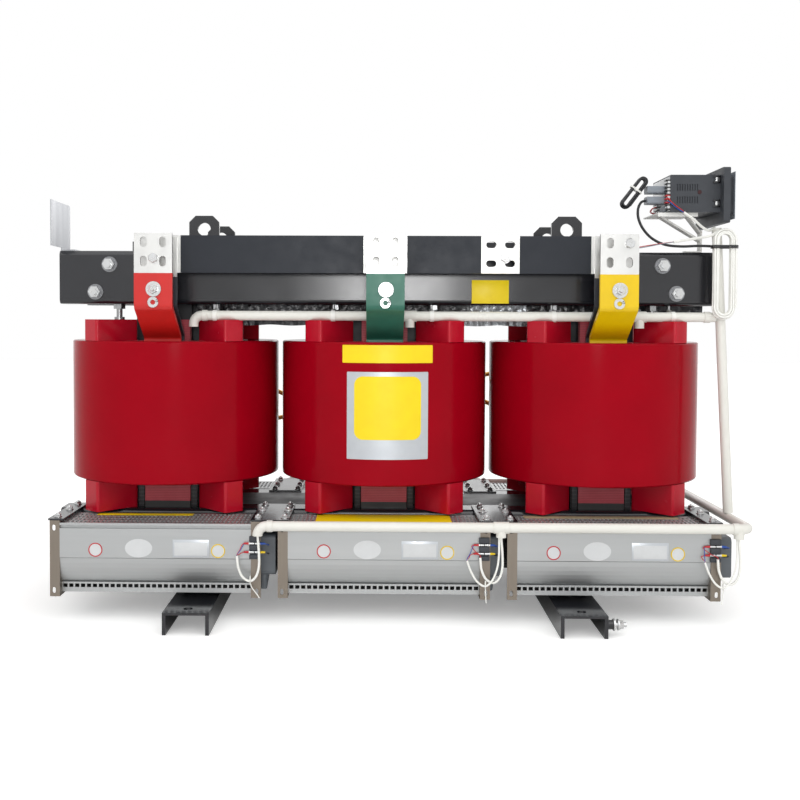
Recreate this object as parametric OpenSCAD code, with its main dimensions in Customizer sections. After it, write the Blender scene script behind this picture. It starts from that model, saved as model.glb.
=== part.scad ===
// Three-phase dry-type power transformer with cast resin coils.
// The low-voltage side with its three busbars faces -Y. Millimetres, +Z up.
// The origin lies on the floor under the middle of the whole outline.

/* [Coils] */
// Clear space between a limb of the core and its low-voltage coil
core_duct = 20; // [14:1:30]
// Wall of a low-voltage coil
lv_wall = 60; // [40:1:72]
// Air duct between the low-voltage and the high-voltage coil
coil_duct = 25; // [20:1:36]
// Wall of a high-voltage coil
hv_wall = 52; // [36:1:64]
// Clear space between neighbouring high-voltage coils
phase_clear = 12; // [8:1:30]
// Height of the coils
coil_h = 323; // [280:1:380]
// Rounding of the cast coil edges
coil_round = 4; // [2:0.5:12]

/* [Core] */
// Half width of the widest limb package
limb_half_w = 92; // [80:1:96]
// Depth of the yokes from front to rear
yoke_depth = 164; // [150:1:180]
// Height of each yoke
yoke_h = 150; // [120:1:160]

/* [Clamps] */
// Reach of the four clamping channels past the core
clamp_over = 155; // [140:1:180]
// Height of a clamping channel
clamp_h = 124; // [120:1:140]
// Depth of a clamping channel from web to flange edge
clamp_depth = 67; // [60:1:80]
// Plate thickness of the clamping channels
clamp_t = 6; // [4:0.5:8]
// Outer bend radius of the clamping channels
clamp_bend_r = 11; // [9:0.5:16]

/* [Feet] */
// Distance between the middles of the two feet
foot_spacing = 842; // [700:2:900]
// Width of a foot channel
foot_w = 100; // [80:1:120]
// Height of a foot channel
foot_h = 48; // [40:1:60]
// Length of a foot channel from front to rear
foot_len = 772; // [740:2:900]
// Web thickness of a foot channel
foot_web_t = 5.5; // [4:0.5:8]
// Flange thickness of a foot channel
foot_flange_t = 8; // [5:0.5:10]
// Diameter of the roller holes at the ends of the feet
foot_hole_d = 20; // [14:1:24]
// Distance of the roller holes from the ends of the feet
foot_hole_inset = 33; // [25:1:50]
// Height of the saddles between the feet and the lower clamps
saddle_h = 54; // [30:1:80]
// Plate thickness of the saddles
saddle_t = 7; // [5:0.5:10]

/* [Coil supports] */
// Height of the resin blocks under the coils
low_block_h = 70; // [50:1:80]
// Height of the resin blocks on the coils
top_block_h = 49; // [40:1:70]
// Width of a resin block
block_w = 52; // [40:1:60]
// Reach of a block inwards from the outside of the low-voltage coil
block_reach = 37; // [26:1:46]
// Distance of the outer end of a block from the outside of its high-voltage coil
block_back = 1; // [0:0.5:6]
// Corner rounding of a block
block_round = 6; // [2:0.5:10]
// Width of the front and rear support boards of a low-voltage coil
board_w = 107; // [90:1:120]
// Thickness of the support boards
board_t = 22; // [12:1:24]
// Length of the pressure screws between block and clamp
press_gap = 36; // [30:1:60]
// Shank diameter of the pressure screws
press_d = 14; // [10:1:18]

/* [Fasteners] */
// Diameter of the tie studs through the clamps
stud_d = 16; // [12:1:20]
// Radial clearance round studs and screws
hole_gap = 1; // [0.5:0.5:2]
// Distance of the inner tie studs from the end of the core
stud_in = 38; // [28:1:50]
// Distance of the outer tie studs from the end of the core
stud_out = 71; // [62:1:90]
// Height of the upper tie stud above the lower edge of its clamp
stud_high_z = 92; // [80:1:100]
// Height of the lower tie stud above the lower edge of its clamp
stud_low_z = 28; // [24:1:40]
// Width of a lifting lug
lug_w = 70; // [60:1:90]
// Height of a lifting lug above its clamp
lug_h = 82; // [70:1:100]
// Thickness of a lifting lug
lug_t = 10; // [8:1:14]
// Diameter of the lifting eye
lug_hole_d = 30; // [24:1:36]
// Distance of a lifting lug behind the face of its clamp
lug_back = 20; // [12:1:30]
// Chamfer of the lug corners
lug_chamfer = 15; // [8:1:20]

/* [Busbars] */
// Width of the low-voltage busbars
bar_w = 84; // [70:1:90]
// Thickness of the bare busbars
bar_t = 8; // [6:0.5:10]
// Thickness of the sleeve on the busbars
sleeve_t = 1.2; // [0.8:0.1:2]
// Height of the busbar tops above the upper clamps
bar_rise = 30; // [20:1:40]
// Bare height at the top of each busbar
bar_bare_h = 88; // [80:1:96]
// Clearance between clamp and neutral bar
neutral_gap = 64; // [56:1:90]
// Clearance between neutral bar and phase busbars
phase_gap = 54; // [46:1:70]
// Width of the terminal slots
slot_w = 15; // [11:1:17]
// Length of the terminal slots
slot_len = 23; // [18:1:26]
// Distance between neighbouring terminal slots
slot_pitch = 42; // [38:1:48]
// Diameter of the busbar post insulators
post_d = 46; // [36:1:56]

/* [Fans] */
// Distance between neighbouring fans, less than the distance between the coils by
fan_pinch = 8; // [0:1:12]
// Clear space between the end brackets of neighbouring fans
fan_between = 37; // [32:1:50]
// Width of the front leg of an end bracket
fan_leg = 22; // [16:1:26]
// Depth of a fan
fan_depth = 122; // [112:1:126]
// Height of a fan housing
fan_h = 157; // [150:1:166]
// Wall of the extruded fan housing
fan_wall = 3; // [2:0.5:4]
// Clearance between fan and clamp, with room for the tie nuts
fan_gap = 29; // [26:1:34]
// Radius of the fan impeller
impeller_r = 44; // [34:1:46]
// Number of blades of an impeller
blade_count = 24; // [12:1:36]
// Thickness of the fan carrying arms
arm_t = 4; // [3:0.5:6]

/* [Conduits] */
// Outer diameter of the cable conduits
pipe_d = 22; // [18:1:24]
// Bend radius of the conduit elbows
pipe_bend = 20; // [16:1:34]
// Clearance between a fan and the conduit along it
pipe_gap = 0.3; // [0.2:0.1:0.8]

/* [Controller] */
// Width of the controller case, along Y
case_w = 146; // [120:1:150]
// Height of the controller case
case_h = 84; // [76:1:96]
// Depth of the controller case, along X
case_l = 112; // [100:1:140]
// Width of the controller bezel, along Y
bezel_w = 200; // [190:1:220]
// Height of the controller bezel
bezel_h = 124; // [110:1:140]
// Thickness of the controller bezel
bezel_t = 15; // [12:1:22]

/* [Hidden] */

// Radii of the coils, from the limb outwards
lv_in = limb_half_w + core_duct;
lv_r = lv_in + lv_wall;
hv_in = lv_r + coil_duct;
hv_r = hv_in + hv_wall;
block_in_r = lv_r - block_reach;
block_out_r = hv_r - block_back;
// Lengths along the core
phase_pitch = 2 * hv_r + phase_clear;
core_half = phase_pitch + limb_half_w;
clamp_half = core_half + clamp_over;
clamp_len = 2 * clamp_half;
stud_in_x = core_half + stud_in;
stud_out_x = core_half + stud_out;
fan_pitch = phase_pitch - fan_pinch;
fan_len = fan_pitch - fan_between;
// Levels above the floor
saddle_top = foot_h + saddle_h;
yoke_top = saddle_top + clamp_h;
coil_z0 = yoke_top + low_block_h;
coil_z1 = coil_z0 + coil_h;
block_top = coil_z1 + top_block_h;
upper_z0 = block_top + press_gap;
upper_z1 = upper_z0 + clamp_h;
window_h = upper_z0 - yoke_top;
// Depths from the middle plane
clamp_face = yoke_depth / 2 + clamp_depth;
neutral_y = clamp_face + neutral_gap;
phase_y = neutral_y + bar_t + phase_gap;
fan_back_y = clamp_face + fan_gap;
fan_front_y = fan_back_y + fan_depth;
pipe_r = pipe_d / 2;
pipe_y = fan_front_y + pipe_gap + pipe_r;
// The outline reaches further to the right than to the left, so the coils stand left of the origin
mid_x = -28;
bar_top = upper_z1 + bar_rise;
sleeve_top = bar_top - bar_bare_h;
slot_inset = 20;
phase_side = [-1, 0, 1];
cut = 1;
smooth = 96;

// Colours
red_resin = "#a30b1c";
dull_red = "#b0323a";
black_paint = "#1d1e22";
core_steel = "#4a4a4c";
tin = "#d9d8d4";
zinc = "#c9cbcb";
charcoal = "#33363c";
satin_alu = "#b9bbbb";
stainless = "#8e877d";
pvc = "#eeeeea";
grey_case = "#3a3d42";

module in_place() {
    translate([mid_x, 0, 0]) children();
}

module both_depths() {
    children();
    mirror([0, 1, 0]) children();
}

module both_sides() {
    children();
    mirror([1, 0, 0]) children();
}

module each_phase() {
    for (side = phase_side)
        translate([side * phase_pitch, 0, 0]) children();
}

module box(x0, x1, y0, y1, z0, z1) {
    translate([x0, y0, z0]) cube([x1 - x0, y1 - y0, z1 - z0]);
}

module rounded_rect(w, h, r) {
    union() {
        square([w - 2 * r, h], center = true);
        square([w, h - 2 * r], center = true);
        for (x = [-1, 1])
            for (y = [-1, 1])
                translate([x * (w / 2 - r), y * (h / 2 - r)]) circle(r, $fn = 32);
    }
}

// Rods along each axis, and a rod through the depth that starts at a front face
module rod_x(x0, x1, y, z, d) {
    translate([x0, y, z]) rotate([0, 90, 0]) cylinder(h = x1 - x0, d = d, $fn = 32);
}

module rod_y(x, y0, y1, z, d) {
    translate([x, y1, z]) rotate([90, 0, 0]) cylinder(h = y1 - y0, d = d, $fn = 32);
}

module rod_z(x, y, z0, z1, d) {
    translate([x, y, z0]) cylinder(h = z1 - z0, d = d, $fn = 32);
}

module hex_z(across, h) {
    cylinder(h = h, d = across / cos(30), $fn = 6);
}

// Points of a centre line with round bends of radius r at its inner points
function unit(v) = v / norm(v);
function turn_of(a, b) = a[0] * b[1] - a[1] * b[0];
function bend_points(p, q, s, r, steps) =
    let (
        a = unit(q - p),
        b = unit(s - q),
        angle = acos(max(-1, min(1, a * b))),
        way = turn_of(a, b) > 0 ? 1 : -1,
        start = q - a * (r * tan(angle / 2)),
        centre = start + way * r * [-a[1], a[0]],
        from = start - centre
    )
    [for (i = [0:steps])
        let (t = way * angle * i / steps)
        centre + [from[0] * cos(t) - from[1] * sin(t), from[0] * sin(t) + from[1] * cos(t)]];
function centre_line(points, r, steps) = [
    points[0],
    for (i = [1:len(points) - 2])
        each bend_points(points[i - 1], points[i], points[i + 1], r, steps),
    points[len(points) - 1]
];
function normal_at(line, i) =
    let (
        before = i > 0 ? unit(line[i] - line[i - 1]) : unit(line[1] - line[0]),
        after = i < len(line) - 1 ? unit(line[i + 1] - line[i]) : before,
        mean = unit(before + after)
    )
    [-mean[1], mean[0]];
function strip_outline(line, t) = [
    for (i = [0:len(line) - 1]) line[i] + normal_at(line, i) * t / 2,
    for (i = [len(line) - 1:-1:0]) line[i] - normal_at(line, i) * t / 2
];

// A flat bar bent in the plane of Y and Z; points are [y, z]
module bent_bar(points, w, t, r) {
    rotate([90, 0, 90])
        translate([0, 0, -w / 2])
            linear_extrude(w) polygon(strip_outline(centre_line(points, r, 6), t));
}

// A round cord swept along a list of points
function cord_side(path, i) =
    i == 0 ? unit(path[1] - path[0])
    : i == len(path) - 1 ? unit(path[i] - path[i - 1])
    : unit(path[i + 1] - path[i - 1]);
function cord_ring(centre, along, r, sides) =
    let (
        up = abs(along[2]) > 0.9 ? [1, 0, 0] : [0, 0, 1],
        u = unit(cross(along, up)),
        v = cross(along, u)
    )
    [for (k = [0:sides - 1])
        centre + r * (u * cos(360 * k / sides) - v * sin(360 * k / sides))];
module cord(path, d, sides) {
    rings = len(path);
    points = [for (i = [0:rings - 1]) each cord_ring(path[i], cord_side(path, i), d / 2, sides)];
    skin = [for (i = [0:rings - 2])
        for (k = [0:sides - 1])
            let (n = (k + 1) % sides)
            [i * sides + k, i * sides + n, (i + 1) * sides + n, (i + 1) * sides + k]];
    first = [for (k = [sides - 1:-1:0]) k];
    last = [for (k = [0:sides - 1]) (rings - 1) * sides + k];
    polyhedron(points, concat(skin, [first, last]));
}

// Coils and core

module hv_shape() {
    rotate_extrude($fn = smooth)
        translate([hv_in + hv_wall / 2, coil_z0 + coil_h / 2])
            rounded_rect(hv_wall, coil_h, coil_round);
}

// The cast board on the rear of a coil that carries its taps and delta terminals
board_half = 58;
board_out = 16;
board_edge = 30;
module tap_board() {
    z_mid = coil_z0 + coil_h / 2;
    board_h = coil_h - 2 * board_edge;
    translate([0, hv_r - hv_wall / 2, z_mid])
        rotate([-90, 0, 0])
            linear_extrude(hv_wall / 2 + board_out) rounded_rect(2 * board_half, board_h, 14);
}

terminal_in = 52;
terminal_z = coil_h / 2 - terminal_in;
terminal_len = 26;
dome_d = 34;
dome_h = 8;
module delta_stud(side) {
    y0 = hv_r + board_out;
    z = coil_z0 + coil_h / 2 + side * terminal_z;
    translate([0, y0 - cut, z]) rotate([-90, 0, 0]) cylinder(h = dome_h + cut, d = dome_d, $fn = 48);
}

module hv_coil() {
    color(red_resin) {
        union() {
            hv_shape();
            tap_board();
            for (side = [-1, 1]) delta_stud(side);
        }
    }
}

module lv_coil() {
    color(dull_red)
        translate([0, 0, coil_z0])
            difference() {
                cylinder(h = coil_h, r = lv_r, $fn = smooth);
                translate([0, 0, -cut]) cylinder(h = coil_h + 2 * cut, r = lv_in, $fn = smooth);
            }
}

// Each limb is stacked in three widths that fit a round winding
limb_steps = [[1, 0.45], [0.83, 0.76], [0.54, 1]];
module limb() {
    for (s = limb_steps)
        translate([0, 0, yoke_top + window_h / 2])
            cube([2 * limb_half_w * s[0], yoke_depth * s[1], window_h], center = true);
}

module yoke(z0) {
    box(-core_half, core_half, -yoke_depth / 2, yoke_depth / 2, z0, z0 + yoke_h);
}

module core() {
    color(core_steel)
        in_place()
            union() {
                yoke(yoke_top - yoke_h);
                yoke(upper_z0);
                each_phase() limb();
            }
}

// Resin supports

block_turn = 48;
module radial_block(z0, h) {
    mid_r = (block_in_r + block_out_r) / 2;
    for (angle = [block_turn, 180 - block_turn, 180 + block_turn, 360 - block_turn])
        rotate([0, 0, angle])
            translate([mid_r, 0, z0])
                linear_extrude(h)
                    rounded_rect(block_out_r - block_in_r, block_w, block_round);
}

module lower_blocks() {
    color(red_resin) in_place() each_phase() radial_block(yoke_top, low_block_h);
}

module upper_blocks() {
    color(red_resin) in_place() each_phase() radial_block(coil_z1, top_block_h);
}

board_in = 8;
board_y = lv_in - board_in;
module support_pair(z0, h) {
    both_depths()
        box(-board_w / 2, board_w / 2, board_y, board_y + board_t, z0, z0 + h);
}

module support_boards() {
    color(dull_red)
        in_place()
            each_phase() {
                support_pair(yoke_top, low_block_h);
                support_pair(coil_z1, top_block_h);
            }
}

press_offset = yoke_depth / 2 + clamp_depth / 2;
press_nut = 24;
press_nut_h = 11;
press_pad_h = 6;
module press_screw() {
    top = upper_z0 + clamp_t + 16;
    union() {
        rod_z(0, 0, block_top, top, press_d);
        translate([0, 0, upper_z0 - press_nut_h]) hex_z(press_nut, press_nut_h);
        rod_z(0, 0, block_top, block_top + press_pad_h, press_nut);
    }
}

module press_places() {
    for (x = [-1, 1])
        for (y = [-1, 1])
            translate([x * press_offset, y * press_offset, 0]) children();
}

module pressure_screws() {
    color(zinc) in_place() each_phase() press_places() press_screw();
}

// Clamping channels: web outside, flanges towards the core

module channel_profile(h, depth, t, bend) {
    difference() {
        channel_outline(h, depth, bend);
        translate([t, t]) square([depth, h - 2 * t]);
    }
}

module channel_outline(h, depth, bend) {
    union() {
        translate([bend, 0]) square([depth - bend, h]);
        translate([0, bend]) square([bend + cut, h - 2 * bend]);
        translate([bend, bend]) circle(bend, $fn = 48);
        translate([bend, h - bend]) circle(bend, $fn = 48);
    }
}

module stud_places() {
    both_sides() {
        translate([stud_in_x, 0, stud_high_z]) children();
        translate([stud_out_x, 0, stud_low_z]) children();
    }
}

module clamp_channel(z0) {
    difference() {
        translate([-clamp_half, -clamp_face, z0])
            rotate([90, 0, 90])
                linear_extrude(clamp_len)
                    channel_profile(clamp_h, clamp_depth, clamp_t, clamp_bend_r);
        translate([0, 0, z0])
            stud_places()
                rod_y(0, -clamp_face - cut, -clamp_face + clamp_t + cut, 0, stud_d + 2 * hole_gap);
    }
}

module upper_channel() {
    difference() {
        clamp_channel(upper_z0);
        each_phase()
            for (x = [-1, 1])
                rod_z(x * press_offset, -press_offset, upper_z0 - cut, upper_z0 + clamp_t + cut,
                      press_d + 2 * hole_gap);
    }
}

module lower_front_clamp() {
    color(black_paint) in_place() clamp_channel(saddle_top);
}

module lower_rear_clamp() {
    color(black_paint) in_place() mirror([0, 1, 0]) clamp_channel(saddle_top);
}

module upper_front_clamp() {
    color(black_paint) in_place() upper_channel();
}

module upper_rear_clamp() {
    color(black_paint) in_place() mirror([0, 1, 0]) upper_channel();
}

washer_d = 36;
washer_t = 3;
nut_across = 24;
nut_h = 13;
stud_proud = 24;
module tie_stud() {
    out = clamp_face + stud_proud;
    union() {
        rod_y(0, -out, out, 0, stud_d);
        both_depths() {
            rod_y(0, clamp_face, clamp_face + washer_t, 0, washer_d);
            translate([0, clamp_face + washer_t, 0]) rotate([-90, 0, 0]) hex_z(nut_across, nut_h);
        }
    }
}

module tie_bolts() {
    color(zinc)
        in_place()
            for (z = [saddle_top, upper_z0])
                translate([0, 0, z]) stud_places() tie_stud();
}

module lug_plate() {
    c = lug_chamfer;
    half = lug_w / 2;
    difference() {
        rotate([90, 0, 0])
            linear_extrude(lug_t)
                polygon([[-half, 0], [half, 0], [half, lug_h - c], [half - c, lug_h],
                         [c - half, lug_h], [-half, lug_h - c]]);
        translate([0, -lug_t / 2, lug_h * 0.62])
            rod_y(0, -lug_t, lug_t, 0, lug_hole_d);
    }
}

module lifting_lugs() {
    color(black_paint)
        in_place()
            both_depths()
                both_sides()
                    translate([foot_spacing / 2, lug_back - clamp_face, upper_z1]) lug_plate();
}

// Feet

module foot_profile() {
    difference() {
        translate([-foot_w / 2, 0]) square([foot_w, foot_h]);
        translate([foot_flange_t - foot_w / 2, -cut])
            square([foot_w - 2 * foot_flange_t, foot_h - foot_web_t + cut]);
    }
}

module saddle_profile() {
    difference() {
        translate([-foot_w / 2, 0]) square([foot_w, saddle_h]);
        translate([saddle_t - foot_w / 2, -cut])
            square([foot_w - 2 * saddle_t, saddle_h - saddle_t + cut]);
    }
}

module foot() {
    difference() {
        union() {
            translate([0, foot_len / 2, 0])
                rotate([90, 0, 0]) linear_extrude(foot_len) foot_profile();
            both_depths()
                translate([0, clamp_face, foot_h])
                    rotate([90, 0, 0]) linear_extrude(clamp_depth) saddle_profile();
        }
        both_depths()
            rod_z(0, foot_len / 2 - foot_hole_inset, foot_h - foot_web_t - cut, foot_h + cut,
                  foot_hole_d);
    }
}

module left_foot() {
    color(black_paint) in_place() translate([-foot_spacing / 2, 0, 0]) foot();
}

// The right foot carries a welded boss for the earthing bolt
earth_inset = 20;
earth_y = foot_len / 2 - earth_inset;
earth_z = 25;
earth_boss_d = 20;
earth_boss_len = 14;
module right_foot() {
    x1 = foot_spacing / 2 + foot_w / 2;
    color(black_paint)
        in_place()
            union() {
                translate([foot_spacing / 2, 0, 0]) foot();
                rod_x(x1 - cut, x1 + earth_boss_len, -earth_y, earth_z, earth_boss_d);
            }
}

module earthing_bolt() {
    x1 = foot_spacing / 2 + foot_w / 2 + earth_boss_len;
    color(zinc)
        in_place()
            translate([x1, -earth_y, earth_z])
                rotate([0, 90, 0])
                    union() {
                        cylinder(h = 3, d = 26, $fn = 48);
                        cylinder(h = 28, d = 10, $fn = 48);
                        translate([0, 0, 9]) cylinder(h = 3, d = 24, $fn = 48);
                        translate([0, 0, 12]) hex_z(17, 9);
                    }
}

// Busbars: up out of the coil, forward over its edge, then straight up

lead_foot_y = lv_r + 6;
lead_bend_z = coil_z1 + 10;
bar_knee_z = upper_z0 - 8;
bar_bend_r = 12;
phase_path = [
    [-lead_foot_y, coil_z1 - 24], [-lead_foot_y, lead_bend_z],
    [-phase_y - bar_t / 2, bar_knee_z], [-phase_y - bar_t / 2, sleeve_top]
];
sleeved_t = bar_t + 2 * sleeve_t;

module slot_x(len, w, t) {
    for (x = [-1, 1])
        translate([x * (len - w) / 2, 0, 0])
            rotate([90, 0, 0]) cylinder(h = t, d = w, center = true, $fn = 32);
    cube([len - w, t, w], center = true);
}

module slot_grid() {
    for (x = [-1, 1])
        for (z = [-1, 1])
            translate([x * slot_pitch / 2, 0, z * slot_pitch / 2]) children();
}

module phase_busbar() {
    y = -phase_y - bar_t / 2;
    difference() {
        union() {
            bent_bar(phase_path, bar_w, sleeved_t, bar_bend_r);
            box(-bar_w / 2, bar_w / 2, y - bar_t / 2, y + bar_t / 2, sleeve_top - cut, bar_top);
        }
        translate([0, y, bar_top - slot_inset - slot_pitch / 2])
            slot_grid() rotate([0, 90, 0]) slot_x(slot_len, slot_w, bar_t + 2 * cut);
    }
}

module red_busbar() {
    color("#d2221e") in_place() translate([-phase_pitch, 0, 0]) phase_busbar();
}

module green_busbar() {
    color("#2f6a58") in_place() phase_busbar();
}

module yellow_busbar() {
    color("#f0d000") in_place() translate([phase_pitch, 0, 0]) phase_busbar();
}

// Each neutral lead rises from the middle of its winding, behind the phase busbar
neutral_foot_y = board_y + board_t + 11;
neutral_path = [
    [-neutral_foot_y, coil_z1], [-neutral_foot_y, coil_z1 + 14],
    [-neutral_y - bar_t * 1.5, bar_knee_z], [-neutral_y - bar_t * 1.5, bar_top]
];
module neutral_leads() {
    color(charcoal)
        in_place() each_phase() bent_bar(neutral_path, bar_w, bar_t, bar_bend_r);
}

// The neutral bar lies behind the three leads, with a terminal pad between two phases
neutral_over = 42;
pad_shift = 3;
pad_x = phase_pitch / 2 + pad_shift;
module neutral_bar() {
    half = phase_pitch + neutral_over;
    y1 = -neutral_y;
    z_mid = bar_top - slot_inset - slot_pitch / 2;
    color(charcoal)
        in_place()
            difference() {
                union() {
                    box(-half, half, y1 - bar_t, y1, bar_top - bar_w, bar_top);
                    box(pad_x - bar_w / 2, pad_x + bar_w / 2, y1 - 1.5 * bar_t, y1 - bar_t + cut,
                        bar_top - bar_w, bar_top - 3);
                }
                translate([pad_x, y1 - bar_t, z_mid])
                    slot_grid() slot_x(slot_len, slot_w, 3 * bar_t);
            }
}

// Ribbed posts carry the neutral leads on the clamp and the phase busbars on the leads
post_z = upper_z0 + 31;
module post(len) {
    shed = len / 5;
    rotate([90, 0, 0])
        rotate_extrude($fn = 64)
            polygon([
                [0, 0], [post_d / 2 - 5, 0],
                for (i = [0:4])
                    each [[post_d / 2 - 5, i * shed + 1], [post_d / 2, i * shed + 3],
                          [post_d / 2, (i + 1) * shed - 3], [post_d / 2 - 5, (i + 1) * shed - 1]],
                [post_d / 2 - 5, len], [0, len]
            ]);
}

module post_insulators() {
    color("#5d1a16")
        in_place()
            each_phase() {
                translate([0, -clamp_face, post_z]) post(neutral_gap + bar_t);
                translate([0, -neutral_y - 2 * bar_t, post_z]) post(phase_gap - bar_t - sleeve_t);
            }
}

// Rear connections of the high-voltage coils, from the top of one coil to the foot of the next.
// The third one closes the triangle and passes behind the other two.
link_d = 12;
link_boss_d = 22;
link_step = 36;
module link_rod(x0, z0, x1, z1, y) {
    start = [x0, y, z0];
    reach = [x1 - x0, 0, z1 - z0];
    translate(start)
        rotate([0, atan2(reach[0], reach[2]), 0])
            cylinder(h = norm(reach), d = link_d, $fn = 24);
    for (end = [[x0, z0], [x1, z1]])
        rod_y(end[0], hv_r + board_out + dome_h, y + link_d, end[1], link_boss_d);
}

module delta_links() {
    z_mid = coil_z0 + coil_h / 2;
    low = z_mid - terminal_z;
    high = z_mid + terminal_z;
    near = hv_r + board_out + terminal_len;
    color("#b98a4a")
        in_place() {
            link_rod(-phase_pitch, high, 0, low, near);
            link_rod(0, high, phase_pitch, low, near);
            link_rod(phase_pitch, high, -phase_pitch, low, near + link_step);
        }
}

// Fans: one extruded housing between two bent end brackets, with a motor at the right end

fan_bank_x = -1;
fan_first_x = fan_bank_x - fan_pitch - fan_len / 2;
fan_end_x = fan_bank_x + fan_pitch + fan_len / 2;
fan_drop = 5;
fan_z0 = yoke_top - fan_drop - fan_h;
bracket_t = 2;
leg_below = 6;
leg_z0 = fan_z0 - leg_below;

// Section of the housing seen from its end: [distance from the front, height]
lip_h = 5;
groove_h = 7;
groove_in = 6;
groove_z = fan_h - lip_h - groove_h;
seam_h = 0.5 * fan_h;
seam_in = 2;
sill_h = 24;
sill_lip = 3;
curl_in = 22;
rail_in = curl_in - sill_lip;
function lower_curve(inset) = [
    for (i = [0:8])
        let (t = 90 * i / 8, bottom = sill_h + inset)
        [inset + seam_in + curl_in * (1 - cos(t)), bottom + (seam_h - bottom) * (1 - sin(t))]
];
housing_outline = [
    [0, fan_h], [0, fan_h - lip_h], [groove_in, fan_h - lip_h],
    [groove_in, groove_z], [0, groove_z], [0, seam_h + seam_in],
    each lower_curve(0),
    [rail_in, sill_h - 2], [rail_in, 0], [fan_depth, 0], [fan_depth, fan_h]
];
housing_cavity = [
    [groove_in + fan_wall, fan_h - fan_wall], [groove_in + fan_wall, groove_z - fan_wall],
    [fan_wall, groove_z - fan_wall], [fan_wall, seam_h + seam_in],
    each lower_curve(fan_wall),
    [curl_in + seam_in + fan_wall, sill_h - 1], [rail_in + fan_wall, sill_h - 3],
    [rail_in + fan_wall, fan_wall],
    [fan_depth - fan_wall, fan_wall], [fan_depth - fan_wall, fan_h - fan_wall]
];

inlet_slots = 32;
outlet_slots = 44;
module fan_body() {
    len = fan_len - 2 * fan_leg;
    slot_step = len / inlet_slots;
    vent_step = len / outlet_slots;
    difference() {
        rotate([90, 0, 90])
            linear_extrude(len)
                difference() {
                    polygon(housing_outline);
                    polygon(housing_cavity);
                }
        for (i = [0:inlet_slots - 1])
            translate([(i + 0.14) * slot_step, 0, 10])
                cube([slot_step * 0.72, 2 * curl_in, 8]);
        for (i = [0:outlet_slots - 1])
            for (row = [0:3])
                translate([(i + 0.22) * vent_step, 12 + row * (fan_depth - 20) / 4, fan_h - 2 * fan_wall])
                    cube([vent_step * 0.56, (fan_depth - 20) / 4 - 7, 3 * fan_wall]);
    }
}

module fan_place(i) {
    translate([fan_first_x + i * fan_pitch, -fan_front_y, fan_z0]) children();
}

module fan_at(i) {
    fan_place(i) translate([fan_leg, 0, 0]) fan_body();
}

module front_left_fan() {
    color(satin_alu) in_place() fan_at(0);
}

module front_middle_fan() {
    color(satin_alu) in_place() fan_at(1);
}

module front_right_fan() {
    color(satin_alu) in_place() fan_at(2);
}

module rear_left_fan() {
    color(satin_alu) in_place() mirror([0, 1, 0]) fan_at(0);
}

module rear_middle_fan() {
    color(satin_alu) in_place() mirror([0, 1, 0]) fan_at(1);
}

module rear_right_fan() {
    color(satin_alu) in_place() mirror([0, 1, 0]) fan_at(2);
}

leg_slot_w = 7;
leg_slot_len = 13;
module end_bracket() {
    h = yoke_top - leg_z0;
    difference() {
        union() {
            cube([fan_leg, bracket_t, h]);
            translate([fan_leg - bracket_t, 0, 0]) cube([bracket_t, fan_depth, h]);
        }
        for (z = [14, h - 16])
            translate([fan_leg * 0.42, bracket_t / 2, z])
                rotate([0, 90, 0]) slot_x(leg_slot_len, leg_slot_w, 2 * bracket_t);
    }
}

module bracket_row() {
    for (i = [0:2])
        fan_place(i)
            translate([0, 0, leg_z0 - fan_z0]) {
                end_bracket();
                translate([fan_len, 0, 0]) mirror([1, 0, 0]) end_bracket();
            }
}

module front_fan_brackets() {
    color(stainless) in_place() bracket_row();
}

module rear_fan_brackets() {
    color(stainless) in_place() mirror([0, 1, 0]) bracket_row();
}

// The impeller is a ring of curved blades between round end plates
shaft_gap = 0.3;
impeller_y = fan_depth / 2 + 2;
impeller_z = impeller_r + 14;
module impeller() {
    len = fan_len - 2 * fan_leg;
    end_t = 2;
    edge = 6;
    union() {
        translate([edge, 0, 0]) rotate([0, 90, 0]) cylinder(h = end_t, r = impeller_r, $fn = 48);
        translate([len - edge - end_t, 0, 0])
            rotate([0, 90, 0]) cylinder(h = end_t, r = impeller_r, $fn = 48);
        for (i = [0:blade_count - 1])
            rotate([i * 360 / blade_count, 0, 0])
                translate([edge + end_t / 2, impeller_r - 10, -0.6])
                    cube([len - 2 * edge - end_t, 9, 1.2]);
        rod_x(shaft_gap, len - shaft_gap, 0, 0, 8);
    }
}

module impeller_row() {
    for (i = [0:2])
        fan_place(i) translate([fan_leg, impeller_y, impeller_z]) impeller();
}

module fan_impellers() {
    color("#8a8c8c") in_place() both_depths() impeller_row();
}

motor_clear = 7;
motor_len = fan_between + fan_leg - bracket_t - motor_clear;
motor_w = 78;
motor_h = 90;
gland_h = 34;
module motor() {
    difference() {
        union() {
            rotate([90, 0, 90]) linear_extrude(motor_len) rounded_rect(motor_w, motor_h, 10);
            translate([motor_len * 0.45, -motor_w / 4, -motor_h / 2 - gland_h])
                cylinder(h = gland_h + cut, d1 = 14, d2 = 26, $fn = 32);
        }
        for (z = [-26:13:26])
            translate([motor_len - 3, -motor_w / 2 + 12, z - 2]) cube([4, motor_w - 24, 4]);
    }
}

motor_z = 84;
module motor_row() {
    for (i = [0:2])
        fan_place(i)
            translate([fan_len - fan_leg + bracket_t, fan_depth / 2, motor_z]) motor();
}

module fan_motors() {
    color("#6f7478") in_place() both_depths() motor_row();
}

// Arms lie on the lower clamps and reach out over the end brackets
arm_side = 34;
arm_over = 4;
arm_lap = clamp_depth - 16;
arm_short = 2;
module arm(x0, x1) {
    box(x0, x1, arm_short - fan_front_y, arm_lap - clamp_face, yoke_top, yoke_top + arm_t);
}

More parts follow.
